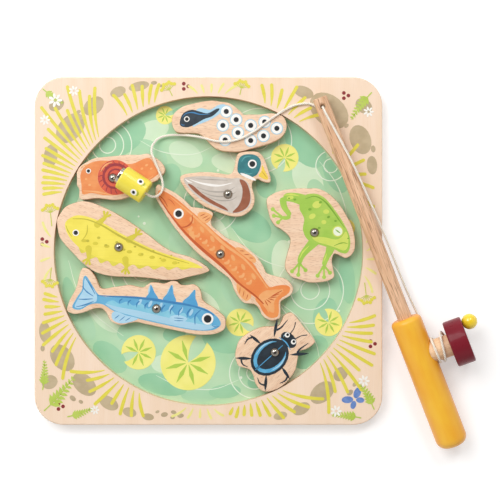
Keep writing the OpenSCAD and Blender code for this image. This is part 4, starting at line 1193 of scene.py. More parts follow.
@dataclass
class Reel:
    """The winding reel: a beech drum, a lacquered disc, its ball knob on a peg, and the screw.

    Attributes:
        at: distance of its axis from the rod's butt; handle_r: the handle's radius.
        drum_d, drum_gap, seat: the drum, how far it stands out of the handle, and its seat in there.
        disc_d, disc_t, disc_r: the disc and the rounding of its rims.
        knob_d, throw, knob_flat, knob_gap: the ball, its distance from the axis, the height of its flat seat
            and its gap over the disc.
        peg_d, peg_in, peg_fit: the peg, its depth in the disc and in the ball, and its slack.
        screw_d, screw_in, head_d, head_h, head_in: the screw, its depth in the handle, its head, and how far
            the head lies under the disc's face.
        dome_r, slot, slot_deep: the head's rounding, its cross slot's width and half the cutter's height.
        gap: running clearance; ease: of small edges.
    """

    at: float = 83.0
    handle_r: float = 13.5
    drum_d: float = 19.0
    drum_gap: float = 14.4
    seat: float = 4.5
    disc_d: float = 40.0
    disc_t: float = 16.0
    disc_r: float = 1.6
    knob_d: float = 13.4
    throw: float = 13.3
    knob_flat: float = 0.6
    knob_gap: float = 0.1
    peg_d: float = 5.0
    peg_in: float = 5.0
    peg_fit: float = 0.01
    screw_d: float = 4.0
    screw_in: float = 14.0
    head_d: float = 9.0
    head_h: float = 2.6
    head_in: float = 0.6
    dome_r: float = 1.9
    slot: float = 1.1
    slot_deep: float = 1.2
    gap: float = 0.3
    ease: float = 0.4

    def build(self, shop: Workshop) -> None:
        """Makes the five pieces.

        Args:
            shop: makes the pieces.
        """
        axle = ROD.moved((0, self.at, 0))
        at_knob = axle.moved((0, self.throw, 0))
        face = self.handle_r + self.drum_gap
        top = face + self.disc_t
        self.drum(shop, axle, face)
        self.disc(shop, axle, at_knob, face)
        self.knob(shop, at_knob, top)
        self.screw(shop, axle, top - self.head_in - self.head_h)

    def drum(self, shop: Workshop, axle: Frame, face: float) -> None:
        """Makes the drum, a ring from its seat in the handle to the disc's face.

        Args:
            shop: makes the piece.
            axle: the frame of the reel's axis.
            face: place of the disc's inner face.
        """
        bore, r, ease = self.screw_d / 2 + self.gap, self.drum_d / 2, self.ease
        inner = self.handle_r - self.seat + self.gap
        ring = np.array([[inner, bore], [inner, r - ease], [inner + ease, r], [face - 6, r], [face, r], [face, bore]])
        shop.piece("drum_turned", revolve_ring(ring, axle), DRUM_WOOD, ("reel_drum",), Body.REEL)

    def disc(self, shop: Workshop, axle: Frame, at_knob: Frame, face: float) -> None:
        """Makes the disc, bored for the screw, its sunk head and the peg.

        Args:
            shop: makes the piece.
            axle, at_knob: frames of the reel's axis and of the knob's.
            face: place of its inner face.
        """
        bore, top = self.screw_d / 2 + self.gap, face + self.disc_t
        side = bar_side(self.disc_d / 2, self.disc_t, self.disc_r, self.disc_r, 3) + [face, 0]
        flat = np.linspace(side[-1, 1], bore, 5)[1:]
        faces = [np.stack([np.full(4, at), radii], 1) for at, radii in ((face, flat[::-1]), (top, flat))]
        whole = revolve_ring(np.concatenate([faces[0], side, faces[1]]), axle, 128)
        made = shop.piece("disc_lacquered", whole, DISC_LACQUER, ("reel_disc",), Body.REEL)
        hole = plug(top - self.peg_in, top + PAST, self.peg_d / 2)
        sunk = plug(top - self.head_in - self.head_h - self.gap, top + PAST, self.head_d / 2 + self.gap)
        shop.bored(made, [revolve(hole, at_knob, 48), revolve(sunk, axle, 64)], axle)

    def knob(self, shop: Workshop, at_knob: Frame, top: float) -> None:
        """Makes the ball with its flat seat and blind hole, and the peg that joins it to the disc.

        Args:
            shop: makes the pieces.
            at_knob: the frame of the knob's axis.
            top: place of the disc's outer face.
        """
        ball, peg_r, seat = self.knob_d / 2, self.peg_d / 2, top + self.knob_gap
        middle, pit = seat + ball - self.knob_flat, seat + self.peg_in
        opening = math.degrees(math.acos((ball - self.knob_flat) / ball))
        globe = corner((middle, 0), ball, 180 - opening, 0, 40)
        whole = from_axis(pit, [[pit, peg_r], [seat, peg_r]], globe[:-1], end=middle + ball)
        shop.piece("knob_lacquered", revolve(whole, at_knob, 64), KNOB_LACQUER, ("reel_knob",), Body.REEL)
        foot = top - self.peg_in
        side = bar_side(peg_r - self.peg_fit, self.knob_gap + 2 * self.peg_in, 0.3, 0.3, 2) + [foot, 0]
        peg = revolve(from_axis(foot, side, end=pit), at_knob, 48)
        shop.piece("peg_turned", peg, DRUM_WOOD, ("reel_peg",), Body.REEL)

    def screw(self, shop: Workshop, axle: Frame, seat: float) -> None:
        """Makes the pan-head screw, fast in the handle, with its cross slot bored out.

        Args:
            shop: makes the piece.
            axle: the frame of the reel's axis.
            seat: place of the underside of its head.
        """
        start, top = self.handle_r - self.seat - self.screw_in, seat + self.head_h
        shank, head = self.screw_d / 2, self.head_d / 2
        point = [[start + 1.5, shank * 0.5], [start + 3, shank], [seat, shank], [seat, head - 0.2], [seat + 0.2, head]]
        dome = corner((top - self.dome_r, head - self.dome_r), self.dome_r, 90, 0, 10)
        whole = revolve(from_axis(start, point, dome, end=top), axle, 64)
        made = shop.piece("screw_plated", whole, SCREW_STEEL, ("reel_screw",))
        long = self.head_d * 0.5
        shop.bored(made, [self.bar(axle, top, *size) for size in ((long, self.slot), (self.slot, long))], axle)

    def bar(self, axle: Frame, at: float, y: float, z: float) -> Shell:
        """A block across the axle, which cuts one bar of the slot.

        Args:
            axle: the frame of the reel's axis.
            at: place of its middle.
            y, z: its sides.

        Returns:
            The block.
        """
        corners = np.array([[-y, -z], [y, -z], [y, z], [-y, z]]) / 2
        deep = (-self.slot_deep, self.slot_deep)
        return tube(np.stack([np.concatenate([np.full((4, 1), at + d), corners], 1) for d in deep]), axle)


@dataclass
class Bait:
    """The lemon-yellow bait on the snail, with its magnet beside the snail's stud.

    Attributes:
        diameter, length, edge: of the body, and the rounding of its rims.
        magnet_d, magnet_out, magnet_in, magnet_fit: the magnet, its length out of the body and in its seat,
            and the seat's slack.
        cord_d, cord_fit, lip_r: the cord, the slack of its hole, and the rounding of the hole's mouth.
        snail: the place of the snail's stud; aside: how far beside it the bait lies.
        turn: degrees from X to the bait's length; pull_gap: between the magnet and the stud.
        eye_share, eye_lean: the eyes' share of the length, and their angle from the top.
        cheek_r: radius of the arcs under the eyes.
    """

    diameter: float = 21.0
    length: float = 25.0
    edge: float = 1.3
    magnet_d: float = 15.0
    magnet_out: float = 3.0
    magnet_in: float = 2.0
    magnet_fit: float = 0.12
    cord_d: float = 2.2
    cord_fit: float = 0.5
    lip_r: float = 0.5
    snail: tuple[float, float] = (-82.3, 62.9)
    turn: float = -33.3
    aside: float = 5.1
    pull_gap: float = 0.15
    eye_share: float = 0.67
    eye_lean: float = 31.0
    cheek_r: float = 4.0

    def frame(self) -> Frame:
        """X along the bait from its magnet end, which lies beside the stud."""
        start = Frame(np.array([*self.snail, STUD_Z + self.diameter / 2]), spin_z(self.turn))
        return start.moved((Stud().head_r + self.pull_gap + self.magnet_out, self.aside, 0))

    def cheeks(self) -> Sketch:
        """Two olive arcs under the eyes, drawn flat with X along the bait and Y round it.

        Returns:
            Their sketch, which is bent over the bait.
        """
        r, x = self.diameter / 2, self.length * self.eye_share
        y = math.radians(self.eye_lean) * r
        arcs = [tuple((x + self.cheek_r * c, side * y + self.cheek_r * s) for c, s in map(heading, angles))
                for side, angles in ((-1, (58, 30, 0, -30)), (1, (-58, -30, 0, 30)))]
        return Sketch("bait_cheeks", CHEEK_INK, "ink_lime", 0.06, r, strokes=strokes((0.4, 1.7, 0.4), *arcs), radius=r)

    def build(self, shop: Workshop) -> None:
        """Makes the bait, bored for the magnet and the cord, its arcs and the magnet.

        Args:
            shop: makes the pieces.
        """
        r, long, frame = self.diameter / 2, self.length, self.frame()
        pit, hole = self.magnet_d / 2 + self.magnet_fit, self.cord_d / 2 + self.cord_fit
        seat = [[self.magnet_in, pit], [0.3, pit], [0, pit + 0.3]]
        side, lip = bar_side(r, long, self.edge, self.edge, 12), mouth(long, hole, self.lip_r)
        whole = revolve(from_axis(self.magnet_in, seat, side, lip, [[long / 2, hole]], end=long / 2), frame, 128)
        shop.piece("bait_lacquered", whole, BAIT_LACQUER, ("bait_body",))
        self.cheeks().build(shop, frame)
        side = bar_side(self.magnet_d / 2, self.magnet_out + self.magnet_in, 0.8, 0.2, 2) - [self.magnet_out, 0]
        magnet = revolve(from_axis(-self.magnet_out, side, end=self.magnet_in), frame, 96)
        shop.piece("magnet_plated", magnet, MAGNET_NICKEL, ("bait_magnet",))


@dataclass(frozen=True)
class Animal:
    """One plywood animal.

    Attributes:
        name: its CAD node; at, turn: its stud's place on the board and its turn in degrees.
        outline: control points of its sawn outline round its stud; studded: False for one without a stud.
        sanded: rounding of its edges.
    """

    name: str
    at: tuple[float, float]
    turn: float
    outline: Line
    studded: bool = True
    sanded: float = 0.8

    def frame(self) -> Frame:
        """The animal's own frame, with its stud at zero."""
        return Frame(np.array([*self.at, 0.0]), spin_z(self.turn))

    def build(self, shop: Workshop) -> None:
        """Makes the animal's wood: its outline swept along a section with sanded edges."""
        shell = sheet_cut(curve(self.outline, 8, True), eased(PIECE_T, self.sanded, PIECE_Z), self.frame())
        shop.piece(f"{self.name}_wood", shell, PIECE_WOOD, (self.name,), sharp=50)


@dataclass
class Stud:
    """A domed steel stud on a pin that narrows at its point.

    Attributes:
        head_r, rise, edge: the head's radius, the dome's height, and the height of its rim.
        pin_r, point_r, pin_in, point: the pin's radius, its point's, its depth in the wood, and the
            length of the point.
    """

    head_r: float = 3.95
    rise: float = 2.6
    edge: float = 0.08
    pin_r: float = 1.0
    point_r: float = 0.8
    pin_in: float = 5.0
    point: float = 0.4

    def build(self, shop: Workshop, animal: Animal) -> None:
        """Makes an animal's stud. The dome is part of a ball of radius (head^2 + rise^2) / (2 rise).

        Args:
            shop: makes the piece.
            animal: the animal that it holds on.
        """
        head, foot = self.head_r, PIECE_TOP - self.pin_in
        ball = (head**2 + self.rise**2) / (2 * self.rise)
        lean = math.degrees(math.asin((head - 0.12) / ball))
        dome = corner((STUD_Z + self.rise - ball, 0), ball, lean, 0, 20)[:-1]
        pin = [[foot + self.point, self.point_r], [foot + 2 * self.point, self.pin_r], [STUD_Z, self.pin_r]]
        rim = [[STUD_Z, head - 0.1], [STUD_Z + self.edge, head]]
        whole = from_axis(foot, pin, rim, dome, end=STUD_Z + self.rise)
        up = Frame(np.array([*animal.at, 0.0]), np.eye(3)[[2, 0, 1]])
        name = f"{animal.name}_stud"
        shop.piece(f"{name}_head", revolve(whole, up, 64), STUD_STEEL, (name,))


ANIMALS: tuple[Animal, ...] = (
    Animal("tadpole", (19.4, 105.6), 0, (
        (-51, 6), (-50, 1), (-47, -3), (-41, -4), (-33, -4), (-27, -5), (-22, -9), (-15, -16), (-9, -19), (-1, -20),
        (8, -20), (16, -18), (27, -15), (36, -12), (43, -8), (47, -3), (48, 3), (46, 9), (41, 12), (34, 13),
        (25, 12), (16, 12), (11, 12), (8, 15), (3, 19), (-2, 22), (-9, 23), (-16, 24), (-25, 23), (-34, 21),
        (-41, 19), (-47, 15), (-50, 11)), studded=False),
    Animal("duck", (16.8, 48.9), 0, (
        (-41, 15), (-38, 17), (-33, 18), (-24, 19), (-16, 19), (-7, 18), (0, 17), (4, 19), (6, 25), (7, 31),
        (9, 35), (13, 36.4), (19, 37), (25, 36.5), (29, 34), (32, 29), (34, 23), (36, 17), (37, 12), (35, 10),
        (30, 11), (26, 13), (23, 12), (21, 10), (21, 5), (22.5, 0), (23, -6), (21, -12), (17, -16), (11, -19),
        (3, -19), (-4, -17), (-12, -14), (-21, -10), (-29, -4), (-35, 2), (-39, 8), (-41, 12))),
    Animal("frog", (91.4, 15.9), 0, (
        (-41, 29), (-38, 32), (-32, 35), (-24, 37), (-14, 38), (-5, 38), (2, 38), (8, 36), (14, 32), (20, 26),
        (25, 19), (29, 12), (32, 6), (34, -1), (35, -9), (34, -16), (31, -20), (27, -22), (24, -21), (20, -19),
        (17, -18.5), (15.5, -21), (15, -25), (16, -31), (17, -37), (15, -40), (10, -42), (3, -43), (-5, -43),
        (-11, -41), (-18, -39), (-22, -36), (-25, -31), (-25, -25), (-23, -17), (-21, -10), (-21, -5), (-24, -1),
        (-29, 3), (-34, 6), (-38, 12), (-40, 19), (-41, 24))),
    Animal("beetle", (57.2, -87.3), 42, (
        (32, 17), (27, 18), (22, 16), (18, 15), (13, 18), (7, 23), (0, 26), (-9, 28), (-16, 28), (-22, 25),
        (-27, 21), (-30, 16), (-31, 12), (-28, 7), (-26, 3), (-27, -2), (-30, -8), (-31, -13), (-30, -18),
        (-26, -22), (-19, -25), (-11, -26), (-4, -25), (3, -23), (10, -18), (15, -14), (18, -14), (22, -16),
        (28, -17), (32, -16), (33, -11), (33, -2), (34, 7), (34, 14))),
    Animal("pike", (10.3, -2.6), 136, (
        (80, -3), (80, -6), (77, -7), (71, -9), (64, -11), (56, -12), (50, -12), (46, -12), (42, -15), (36, -19),
        (31, -21), (28, -20), (26.5, -16), (22, -12.5), (14, -13), (5, -14), (-2, -17), (-8, -19), (-17, -20),
        (-26, -20), (-34, -18), (-40, -16), (-47, -19), (-54, -23), (-60, -24), (-66, -22), (-68, -17), (-67, -12),
        (-66, -7), (-68, -4), (-72, 0), (-75, 4), (-73, 9), (-69, 12), (-63, 13), (-57, 11), (-52, 10.5), (-48, 13),
        (-44, 16), (-37, 16), (-30, 14), (-24, 11), (-19, 10), (-10, 11), (1, 12), (12, 13), (24, 13), (37, 12),
        (50, 10), (63, 7), (73, 4), (78, 0))),
    Animal("newt", (-77.2, 3.3), 160, (
        (55, 3), (58, -4), (57, -11), (55, -17), (50, -22), (44, -26), (36, -28), (28, -28), (16, -27), (5, -25),
        (-8, -22), (-22, -18), (-34, -14), (-46, -12), (-59, -13), (-69, -12), (-77, -10), (-80, -8), (-79, -6),
        (-74, -2), (-66, 3), (-57, 9), (-47, 13), (-34, 16), (-23, 19), (-13, 22.5), (-3, 25.5), (7, 27),
        (15, 26.5), (26, 23), (34, 19), (44, 14), (51, 9))),
    Animal("stickleback", (-44.8, -49.6), -12, (
        (-70, 20), (-67, 21.5), (-62, 20), (-57, 15.5), (-54, 11), (-51, 7.5), (-47, 7.5), (-41, 10), (-34, 12.5),
        (-27, 15), (-20, 15), (-15, 15.5), (-12, 18.5), (-9, 21), (-4, 22), (2, 22.5), (7, 25.5), (12, 26.5),
        (16, 24.5), (21, 25), (27, 27), (32, 25), (35, 21), (37, 16), (42, 13), (48, 11), (54, 8), (59, 5), (61, 0),
        (61, -5), (57, -9), (51, -12), (43, -14), (34, -15), (24, -15), (12, -15), (2, -15), (-7, -15), (-14, -15),
        (-20, -17), (-26, -20), (-32, -20), (-37, -18), (-41, -13), (-45, -10), (-49, -10), (-54, -12), (-60, -16),
        (-67, -19), (-72, -19), (-75, -17), (-75, -11), (-74, -6), (-72, 0), (-71, 6), (-71, 13))),
    Animal("snail", (-82.3, 62.9), 0, (
        (-31, -2), (-31, 5), (-28, 10), (-22, 14), (-16, 17), (-8, 18), (2, 19), (13, 20), (23, 20), (30, 21),
        (34, 19), (39, 16), (43, 12), (45, 7), (43, 3), (38, -2), (34, -4), (29, -8), (23, -11), (16, -15),
        (9, -18), (1, -19), (-8, -18), (-15, -17.5), (-22, -18.5), (-27, -18.5), (-29, -16), (-29, -10), (-31, -6))),
)


# Fine print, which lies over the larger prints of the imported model


# The shapes of one print are stepped down in turn, so that no two that cross have level tops. Its strokes lie a
# hair under its fills, and every shape starts a hair inside the wood.
TOP_STEP, TOP_STEPS = 0.0015, 7
UNDER_FILLS, IN_WOOD = 0.001, 0.01


@dataclass(frozen=True)
class Stroke:
    """A brush stroke along a smooth line.

    Attributes:
        line: its control points; widths: at its start, its middle and its end.
    """

    line: Line
    widths: Widths

    def shell(self, low: float, high: float, frame: Frame) -> Shell:
        """The stroke as a thin band, with round ends.

        Its half width h goes evenly between the three widths' halves, and at a distance d under h from
        an end it is sqrt(h^2 - (h - d)^2).

        Args:
            low, high: heights of its two faces.
            frame: where it is drawn.

        Returns:
            The band's surface.
        """
        line = spaced(curve(self.line, 8, False), 0.7)
        along = distances(line)
        half = np.interp(along / along[-1], (0, 0.5, 1), self.widths) / 2
        short = np.clip(half - np.minimum(along, along[-1] - along), 0, half)
        least = 0.05
        return ribbon(line, 2 * np.sqrt(np.maximum(half**2 - short**2, least**2)), low, high, frame)


def strokes(widths: Widths, *lines: Line) -> tuple[Stroke, ...]:
    """Strokes of the same widths along several lines."""
    return tuple(Stroke(line, widths) for line in lines)


def pair(line: Line, widths: Widths) -> tuple[Stroke, Stroke]:
    """A stroke and its mirror image across X."""
    return strokes(widths, line, tuple((x, -y) for x, y in line))


def oval(x: float, y: float, a: float, b: float, turn: float) -> Array:
    """An oval's outline: (x, y) plus (a cos t, b sin t) turned."""
    t = round_angles(28)
    return np.array([x, y]) + np.stack([a * np.cos(t), b * np.sin(t)], 1) @ spin_z(turn)[:2, :2]


@dataclass(frozen=True)
class Sketch:
    """Fine print in one ink.

    Attributes:
        name, ink: of the piece that it becomes; slot: not used.
        lift: height of the print's top over the surface that it is printed on; base: height of that.
        strokes, fills, dots: its strokes, its filled outlines, and its ovals as x, y, half axes and turn.
        anew: the large prints that it is drawn anew in place of.
        radius: of the round bar that it is bent over, 0 for a flat print.
    """

    name: str
    ink: Ink
    slot: str
    lift: float
    base: float = PIECE_TOP
    strokes: tuple[Stroke, ...] = ()
    fills: tuple[Line, ...] = ()
    dots: tuple[Oval, ...] = ()
    anew: tuple[str, ...] = ()
    radius: float = 0.0

    def build(self, shop: Workshop, frame: Frame = FLAT) -> None:
        """Makes the print.

        A flat print's point (x, y) at the height h goes on a round bar to (x, h sin(y / r), h cos(y / r)).

        Args:
            shop: makes the piece.
            frame: where it is drawn; for a print on a round bar, the bar's own, with X along it and Z up.
        """
        low, high = self.base - IN_WOOD, self.base + self.lift
        sheet = FLAT if self.radius else frame
        flat = [curve(f, 6, True) for f in self.fills] + [oval(*d) for d in self.dots]
        tops = [high - TOP_STEP * (k % TOP_STEPS) for k in range(max(len(flat), len(self.strokes)))]
        shells = [sheet_cut(p, np.array([[0, low], [0, top]]), sheet) for p, top in zip(flat, tops)]
        shells += [s.shell(low, top - UNDER_FILLS, sheet) for s, top in zip(self.strokes, tops)]
        shell = join(shells)
        if self.radius:
            x, y, h = shell.points.T
            shell.points = frame.place(np.stack([x, h * np.sin(y / self.radius), h * np.cos(y / self.radius)], 1))
        shop.piece(self.name, shell, self.ink, self.anew)


@dataclass(frozen=True)
class Bank:
    """A bank of grass along the pond's rim.

    Attributes:
        start, end: where it grows, as directions from the pond's middle in degrees; blades: how many.
        first, last: the directions in which its first and its last blade grow.
        length: of the longest blade; bend: how far the tips curl; width: of a blade at its widest.
        root: distance of the feet from the pond's middle.
        rim, edge, corner_at: where the frame's flat top starts round the pond and ends at the board's edge,
            and where the board's corners start to round.
        steps: how many points a blade is tried at, of which every third is kept; least: fewest to keep it.
    """

    start: float
    end: float
    blades: int
    first: float
    last: float
    length: float
    bend: float = 0.22
    width: float = 3.5
    root: float = 136.0
    rim: float = 134.6
    edge: float = 146.6
    corner_at: float = 125.0
    steps: int = 28
    least: int = 9

    def strokes(self) -> list[Stroke]:
        """The blades.

        A blade is root (cos f, sin f) + s L (cos a, sin a) + s^2 b L (-sin a, cos a) for s up to 1,
        with f going from start to end, a from first to last and b from less to more than nothing, as
        far as a blade stays on the flat. Two blades in three are shorter.

        Returns:
            A stroke for each blade.
        """
        k = np.arange(self.blades)
        share = k / (self.blades - 1)
        f = np.radians(self.start + (self.end - self.start) * share)[:, None]
        a = np.radians(self.first + (self.last - self.first) * share)[:, None]
        long = (self.length * (1 - 0.15 * ((k * 2) % 3)))[:, None]
        bend = self.bend * (2 * share - 1)[:, None]
        s = np.linspace(0.0, 1, self.steps)[None]
        x = self.root * np.cos(f) + long * (s * np.cos(a) - s**2 * bend * np.sin(a))
        y = self.root * np.sin(f) + long * (s * np.sin(a) + s**2 * bend * np.cos(a))
        past = np.maximum(np.abs([x, y]) - self.corner_at, 0)
        out = self.edge - self.width / 2 - self.corner_at
        good = (np.hypot(x, y) > self.rim + 0.3 * self.width) & (np.hypot(*past) < out)
        kept = np.cumprod(good, axis=1).sum(1)
        lines = [np.stack([x[i, :n:3], y[i, :n:3]], 1) for i, n in enumerate(kept) if n >= self.least]
        return list(strokes((0.6, 0.85 * self.width, 0.8 * self.width), *lines))


@dataclass(frozen=True)
class Umbel:
    """A plant with a thin stem and rays that end in small round flowers.

    Attributes:
        foot: where it grows; length, turn: of its stem; rays: how many; reach: length of a ray.
        spread: degrees from the stem's direction to the first and the last ray; flower: radius of one.
    """

    foot: tuple[float, float]
    length: float
    turn: float
    rays: int = 7
    reach: float = 8.0
    spread: float = 65.0
    flower: float = 1.5

    def head(self) -> Array:
        """The end of the stem."""
        return np.array(self.foot) + self.length * heading(self.turn)

    def tips(self) -> Array:
        """The rays' ends, spread evenly about the stem's direction, with every second ray shorter.

        Returns:
            (rays, 2) points.
        """
        a = np.radians(self.turn + np.linspace(-self.spread, self.spread, self.rays))
        reach = self.reach * (1 - 0.16 * (np.arange(self.rays) % 2))
        return self.head() + np.stack([reach * np.cos(a), reach * np.sin(a)], 1)

    def strokes(self) -> tuple[Stroke, ...]:
        """The plant's lines.

        Returns:
            The stem's stroke, and one for each ray.
        """
        head = self.head()
        rays = strokes((0.6, 0.5, 0.5), *((head, tip) for tip in self.tips()))
        return strokes((0.9, 0.8, 0.7), (self.foot, head)) + rays

    def dots(self) -> list[Oval]:
        """The flowers."""
        return [(x, y, self.flower, self.flower, 0.0) for x, y in self.tips()]


@dataclass(frozen=True)
class Frond:
    """A fern's frond.

    Attributes:
        foot: where it grows; turn: its direction in degrees; length: of its stem; pairs: of leaflets.
        droop: how far the stem bends; leaf: length of the lowest leaflet over the stem's.
    """

    foot: tuple[float, float]
    turn: float
    length: float
    pairs: int = 8
    droop: float = 0.12
    leaf: float = 0.26

    def strokes(self) -> list[Stroke]:
        """The stem, foot + s L (cos a, sin a) + s^2 d L (-sin a, cos a) for the droop d, and its leaflets.

        The leaflets lean forward along (0.62, 0.78) of the stem's two directions, bend a little, and get
        shorter towards the tip.

        Returns:
            The stem's stroke, and one for each leaflet.
        """
        along, across = spin_z(self.turn)[:2, :2]
        s = np.linspace(0, 1, self.pairs + 3)[:, None]
        stem = np.array(self.foot) + self.length * (s * along + self.droop * s**2 * across)
        made = [Stroke(stem, (1.1, 0.8, 0.4))]
        for k in range(2, self.pairs + 2):
            long = self.length * self.leaf * (1 - 0.75 * k / (self.pairs + 2))
            for side in (-1, 1):
                tip = stem[k] + long * (0.62 * along + 0.78 * side * across)
                middle = (stem[k] + tip) / 2 + 0.12 * long * along
                made.append(Stroke((stem[k], middle, tip), (0.7, 0.42 * long + 0.3, 0.4)))
        return made


GRASS: tuple[Bank, ...] = (
    Bank(134, 158, 17, 104, 182, 56), Bank(110, 121, 6, 84, 112, 26), Bank(197, 213, 10, 168, 240, 38),
    Bank(315, 333, 11, 292, 366, 44), Bank(279, 298, 10, 250, 336, 36), Bank(55, 69, 7, 28, 92, 26),
    Bank(26, 38, 6, 356, 440, 24), Bank(229, 244, 8, 194, 268, 30))
PALE_GRASS: tuple[Bank, ...] = (
    Bank(84, 94, 5, 50, 124, 15, 0.3, 2.6), Bank(175, 186, 4, 136, 226, 15, 0.3, 2.6),
    Bank(262, 272, 5, 228, 308, 15, 0.3, 2.6), Bank(351, 363, 5, 312, 412, 16, 0.3, 2.6))
UMBELS: tuple[Umbel, ...] = (
    Umbel((133.6, 23), 13, 84, 7, 7.6), Umbel((-135, 21), 12, 96, 7, 7.2), Umbel((-31, 133.4), 6, 116, 7, 6.8),
    Umbel((27, 134.4), 6, 78, 7, 6.6), Umbel((134.6, -27), 11, 277, 7, 7.4), Umbel((-135.4, -14), 10, 264, 7, 7))
FRONDS: tuple[Frond, ...] = (
    Frond((-142, -138), 42, 40), Frond((-143, -120), 80, 26), Frond((-122, -143), 12, 24), Frond((141, 137), 226, 30),
    Frond((143, -137), 112, 28), Frond((132, -144), 168, 26), Frond((-143, 140), 318, 22))

# Screen inks of the fine print, named for what they are drawn on: as flat and matt as the large prints'.
FERN_INK = Ink("fern_ink", "#B4CB50", "#C8D76B", 12, 0.5)
VEIN_INK = Ink("vein_ink", "#AFCF50", "#BAD65E", 8, 0.5, 0.05)
CHEEK_INK = Ink("cheek_ink", "#A9B23A", grain=0.05)
GRASS_INK = Ink("grass_ink", "#E0D448", "#E9DD5C", 12, 0.6)
PALE_GRASS_INK = Ink("pale_grass_ink", "#EDE68A", "#F2EC9C", 12, 0.5)
STEM_INK = Ink("stem_ink", "#C9CE56", grain=0.06)
PEBBLE_INK = Ink("pebble_ink", "#C2AF8E", "#B29F7F", 5, 0.8)
SHALLOW_INK = Ink("shallow_water_ink", "#CFE8C6", "#D8EDD0", 20, 0.6, 0.05)
CURRENT_INK = Ink("current_ink", "#AAD7B0", "#B4DCB8", 20, 0.6, 0.05)
FOAM_INK = Ink("foam_ink", "#E4F3DC", grain=0.03)
RUST_INK = Ink("rust_ink", "#C75B2A", "#B84F26", 8, 0.6)
APRICOT_INK = Ink("apricot_ink", "#F2B074", "#EDA463", 6, 0.6)
DEEP_BLUE_INK = Ink("deep_blue_ink", "#3E86BC", "#3578AE", 8, 0.6)
SKY_INK = Ink("sky_ink", "#4F9FD0", "#5FA9D6", 8, 0.6)
PALE_BLUE_INK = Ink("pale_blue_ink", "#A9D2E8", "#B7DAEC", 6, 0.6)
OLIVE_INK = Ink("olive_ink", "#C6BA3A", "#B8AD34", 8, 0.6)
CREST_INK = Ink("crest_ink", "#E3D64C", "#D8CB44", 8, 0.6)
LEAF_GREEN_INK = Ink("leaf_green_ink", "#7FAF38", "#729F32", 8, 0.6)
FEATHER_WHITE_INK = Ink("feather_white_ink", "#F6F2EC", grain=0.05)
FEATHER_GREY_INK = Ink("feather_grey_ink", "#AFA69C", "#A2998F", 6, 0.5)
TEAL_INK = Ink("teal_ink", "#58A3A6", grain=0.1)
NAVY_INK = Ink("navy_ink", "#1B252E", "#2A3843", 7, 0.7)
MAROON_INK = Ink("maroon_ink", "#A03A38", "#8B2A33", 6, 0.6)
GOLD_INK = Ink("gold_ink", "#C89C2E", grain=0.08)
FLANK_INK = Ink("flank_ink", "#7FC4DC", "#93CFE2", 8, 0.6, 0.1)
PALE_EYE_INK = Ink("pale_eye_ink", "#EFF6DE", grain=0.03)
EYE_WHITE_INK = Ink("eye_white_ink", "#F8F5F0", grain=0.03)
EYE_BLACK_INK = Ink("eye_black_ink", "#14181C", grain=0.03)


def shore_sketches() -> list[Sketch]:
    """Grass in two yellows, ferns, flowering plants and pebbles on the frame.

    Returns:
        Its sketches, in order.
    """
    blades, pale, fronds, stems = (
        tuple(s for plant in group for s in plant.strokes()) for group in (GRASS, PALE_GRASS, FRONDS, UMBELS))
    flowers = tuple(d for u in UMBELS for d in u.dots())
    pebbles = (
        (-38, -141, 3, 2, 10), (-31, -143.6, 2, 1.4, 0), (-30, -139, 2.4, 1.6, -14), (-24, -142, 2.8, 1.8, 8),
        (-44, -138.6, 1.8, 1.2, 20), (122, -122, 3, 2.1, 40), (126, -115, 2.2, 1.6, 50), (-47, 145, 2.6, 1.6, 6),
        (-41, 142.4, 1.8, 1.2, 0), (-117, -127, 3, 2, -40), (-110, -130, 2, 1.5, -30), (119, 108, 2.2, 1.5, 40),
        (-108, 112, 2.8, 1.9, 40), (-112, 120, 2, 1.5, 30), (142, 88, 2, 3, 6), (-143, -84, 1.8, 2.6, 0))
    return [
        Sketch("grass_blades", GRASS_INK, "ink_grass", 0.15, BOARD_T, blades, anew=("shore_grass",)),
        Sketch("fern_fronds", FERN_INK, "ink_vein", 0.21, BOARD_T, fronds, anew=("shore_ferns",)),
        Sketch("pale_grass_blades", PALE_GRASS_INK, "ink_leaf", 0.13, BOARD_T, pale),
        Sketch("flower_stems", STEM_INK, "ink_vein", 0.2, BOARD_T, stems),
        Sketch("flower_heads", GRASS_INK, "ink_grass", 0.23, BOARD_T, dots=flowers),
        Sketch("pebbles", PEBBLE_INK, "ink_stone", 0.11, BOARD_T, dots=pebbles),
    ]


# Lily pads: middle, radius, and direction of the notch in degrees.
PADS: tuple[tuple[float, float, float, float], ...] = (
    (-18, -97, 24, 60), (-61, -88, 15, 200), (27, -62, 12, 330), (104, -62, 12, 120), (66, 81, 12, 250),
    (-38, 118, 8, 20), (119, 20, 8, 90))


def pad_veins() -> list[Stroke]:
    """Seven veins on each lily pad, 45 degrees apart from its notch on, from 0.08 to 0.84 of its radius.

    Returns:
        A stroke for each vein, wide in its middle like a leaf.
    """
    made = []
    for x, y, r, notch in PADS:
        lines = (np.array([x, y]) + np.outer((0.08, 0.46, 0.84), r * heading(notch + 45 * k)) for k in range(1, 8))
        made += strokes((0.3, 0.15 * r + 0.2, 0.3), *lines)
    return made


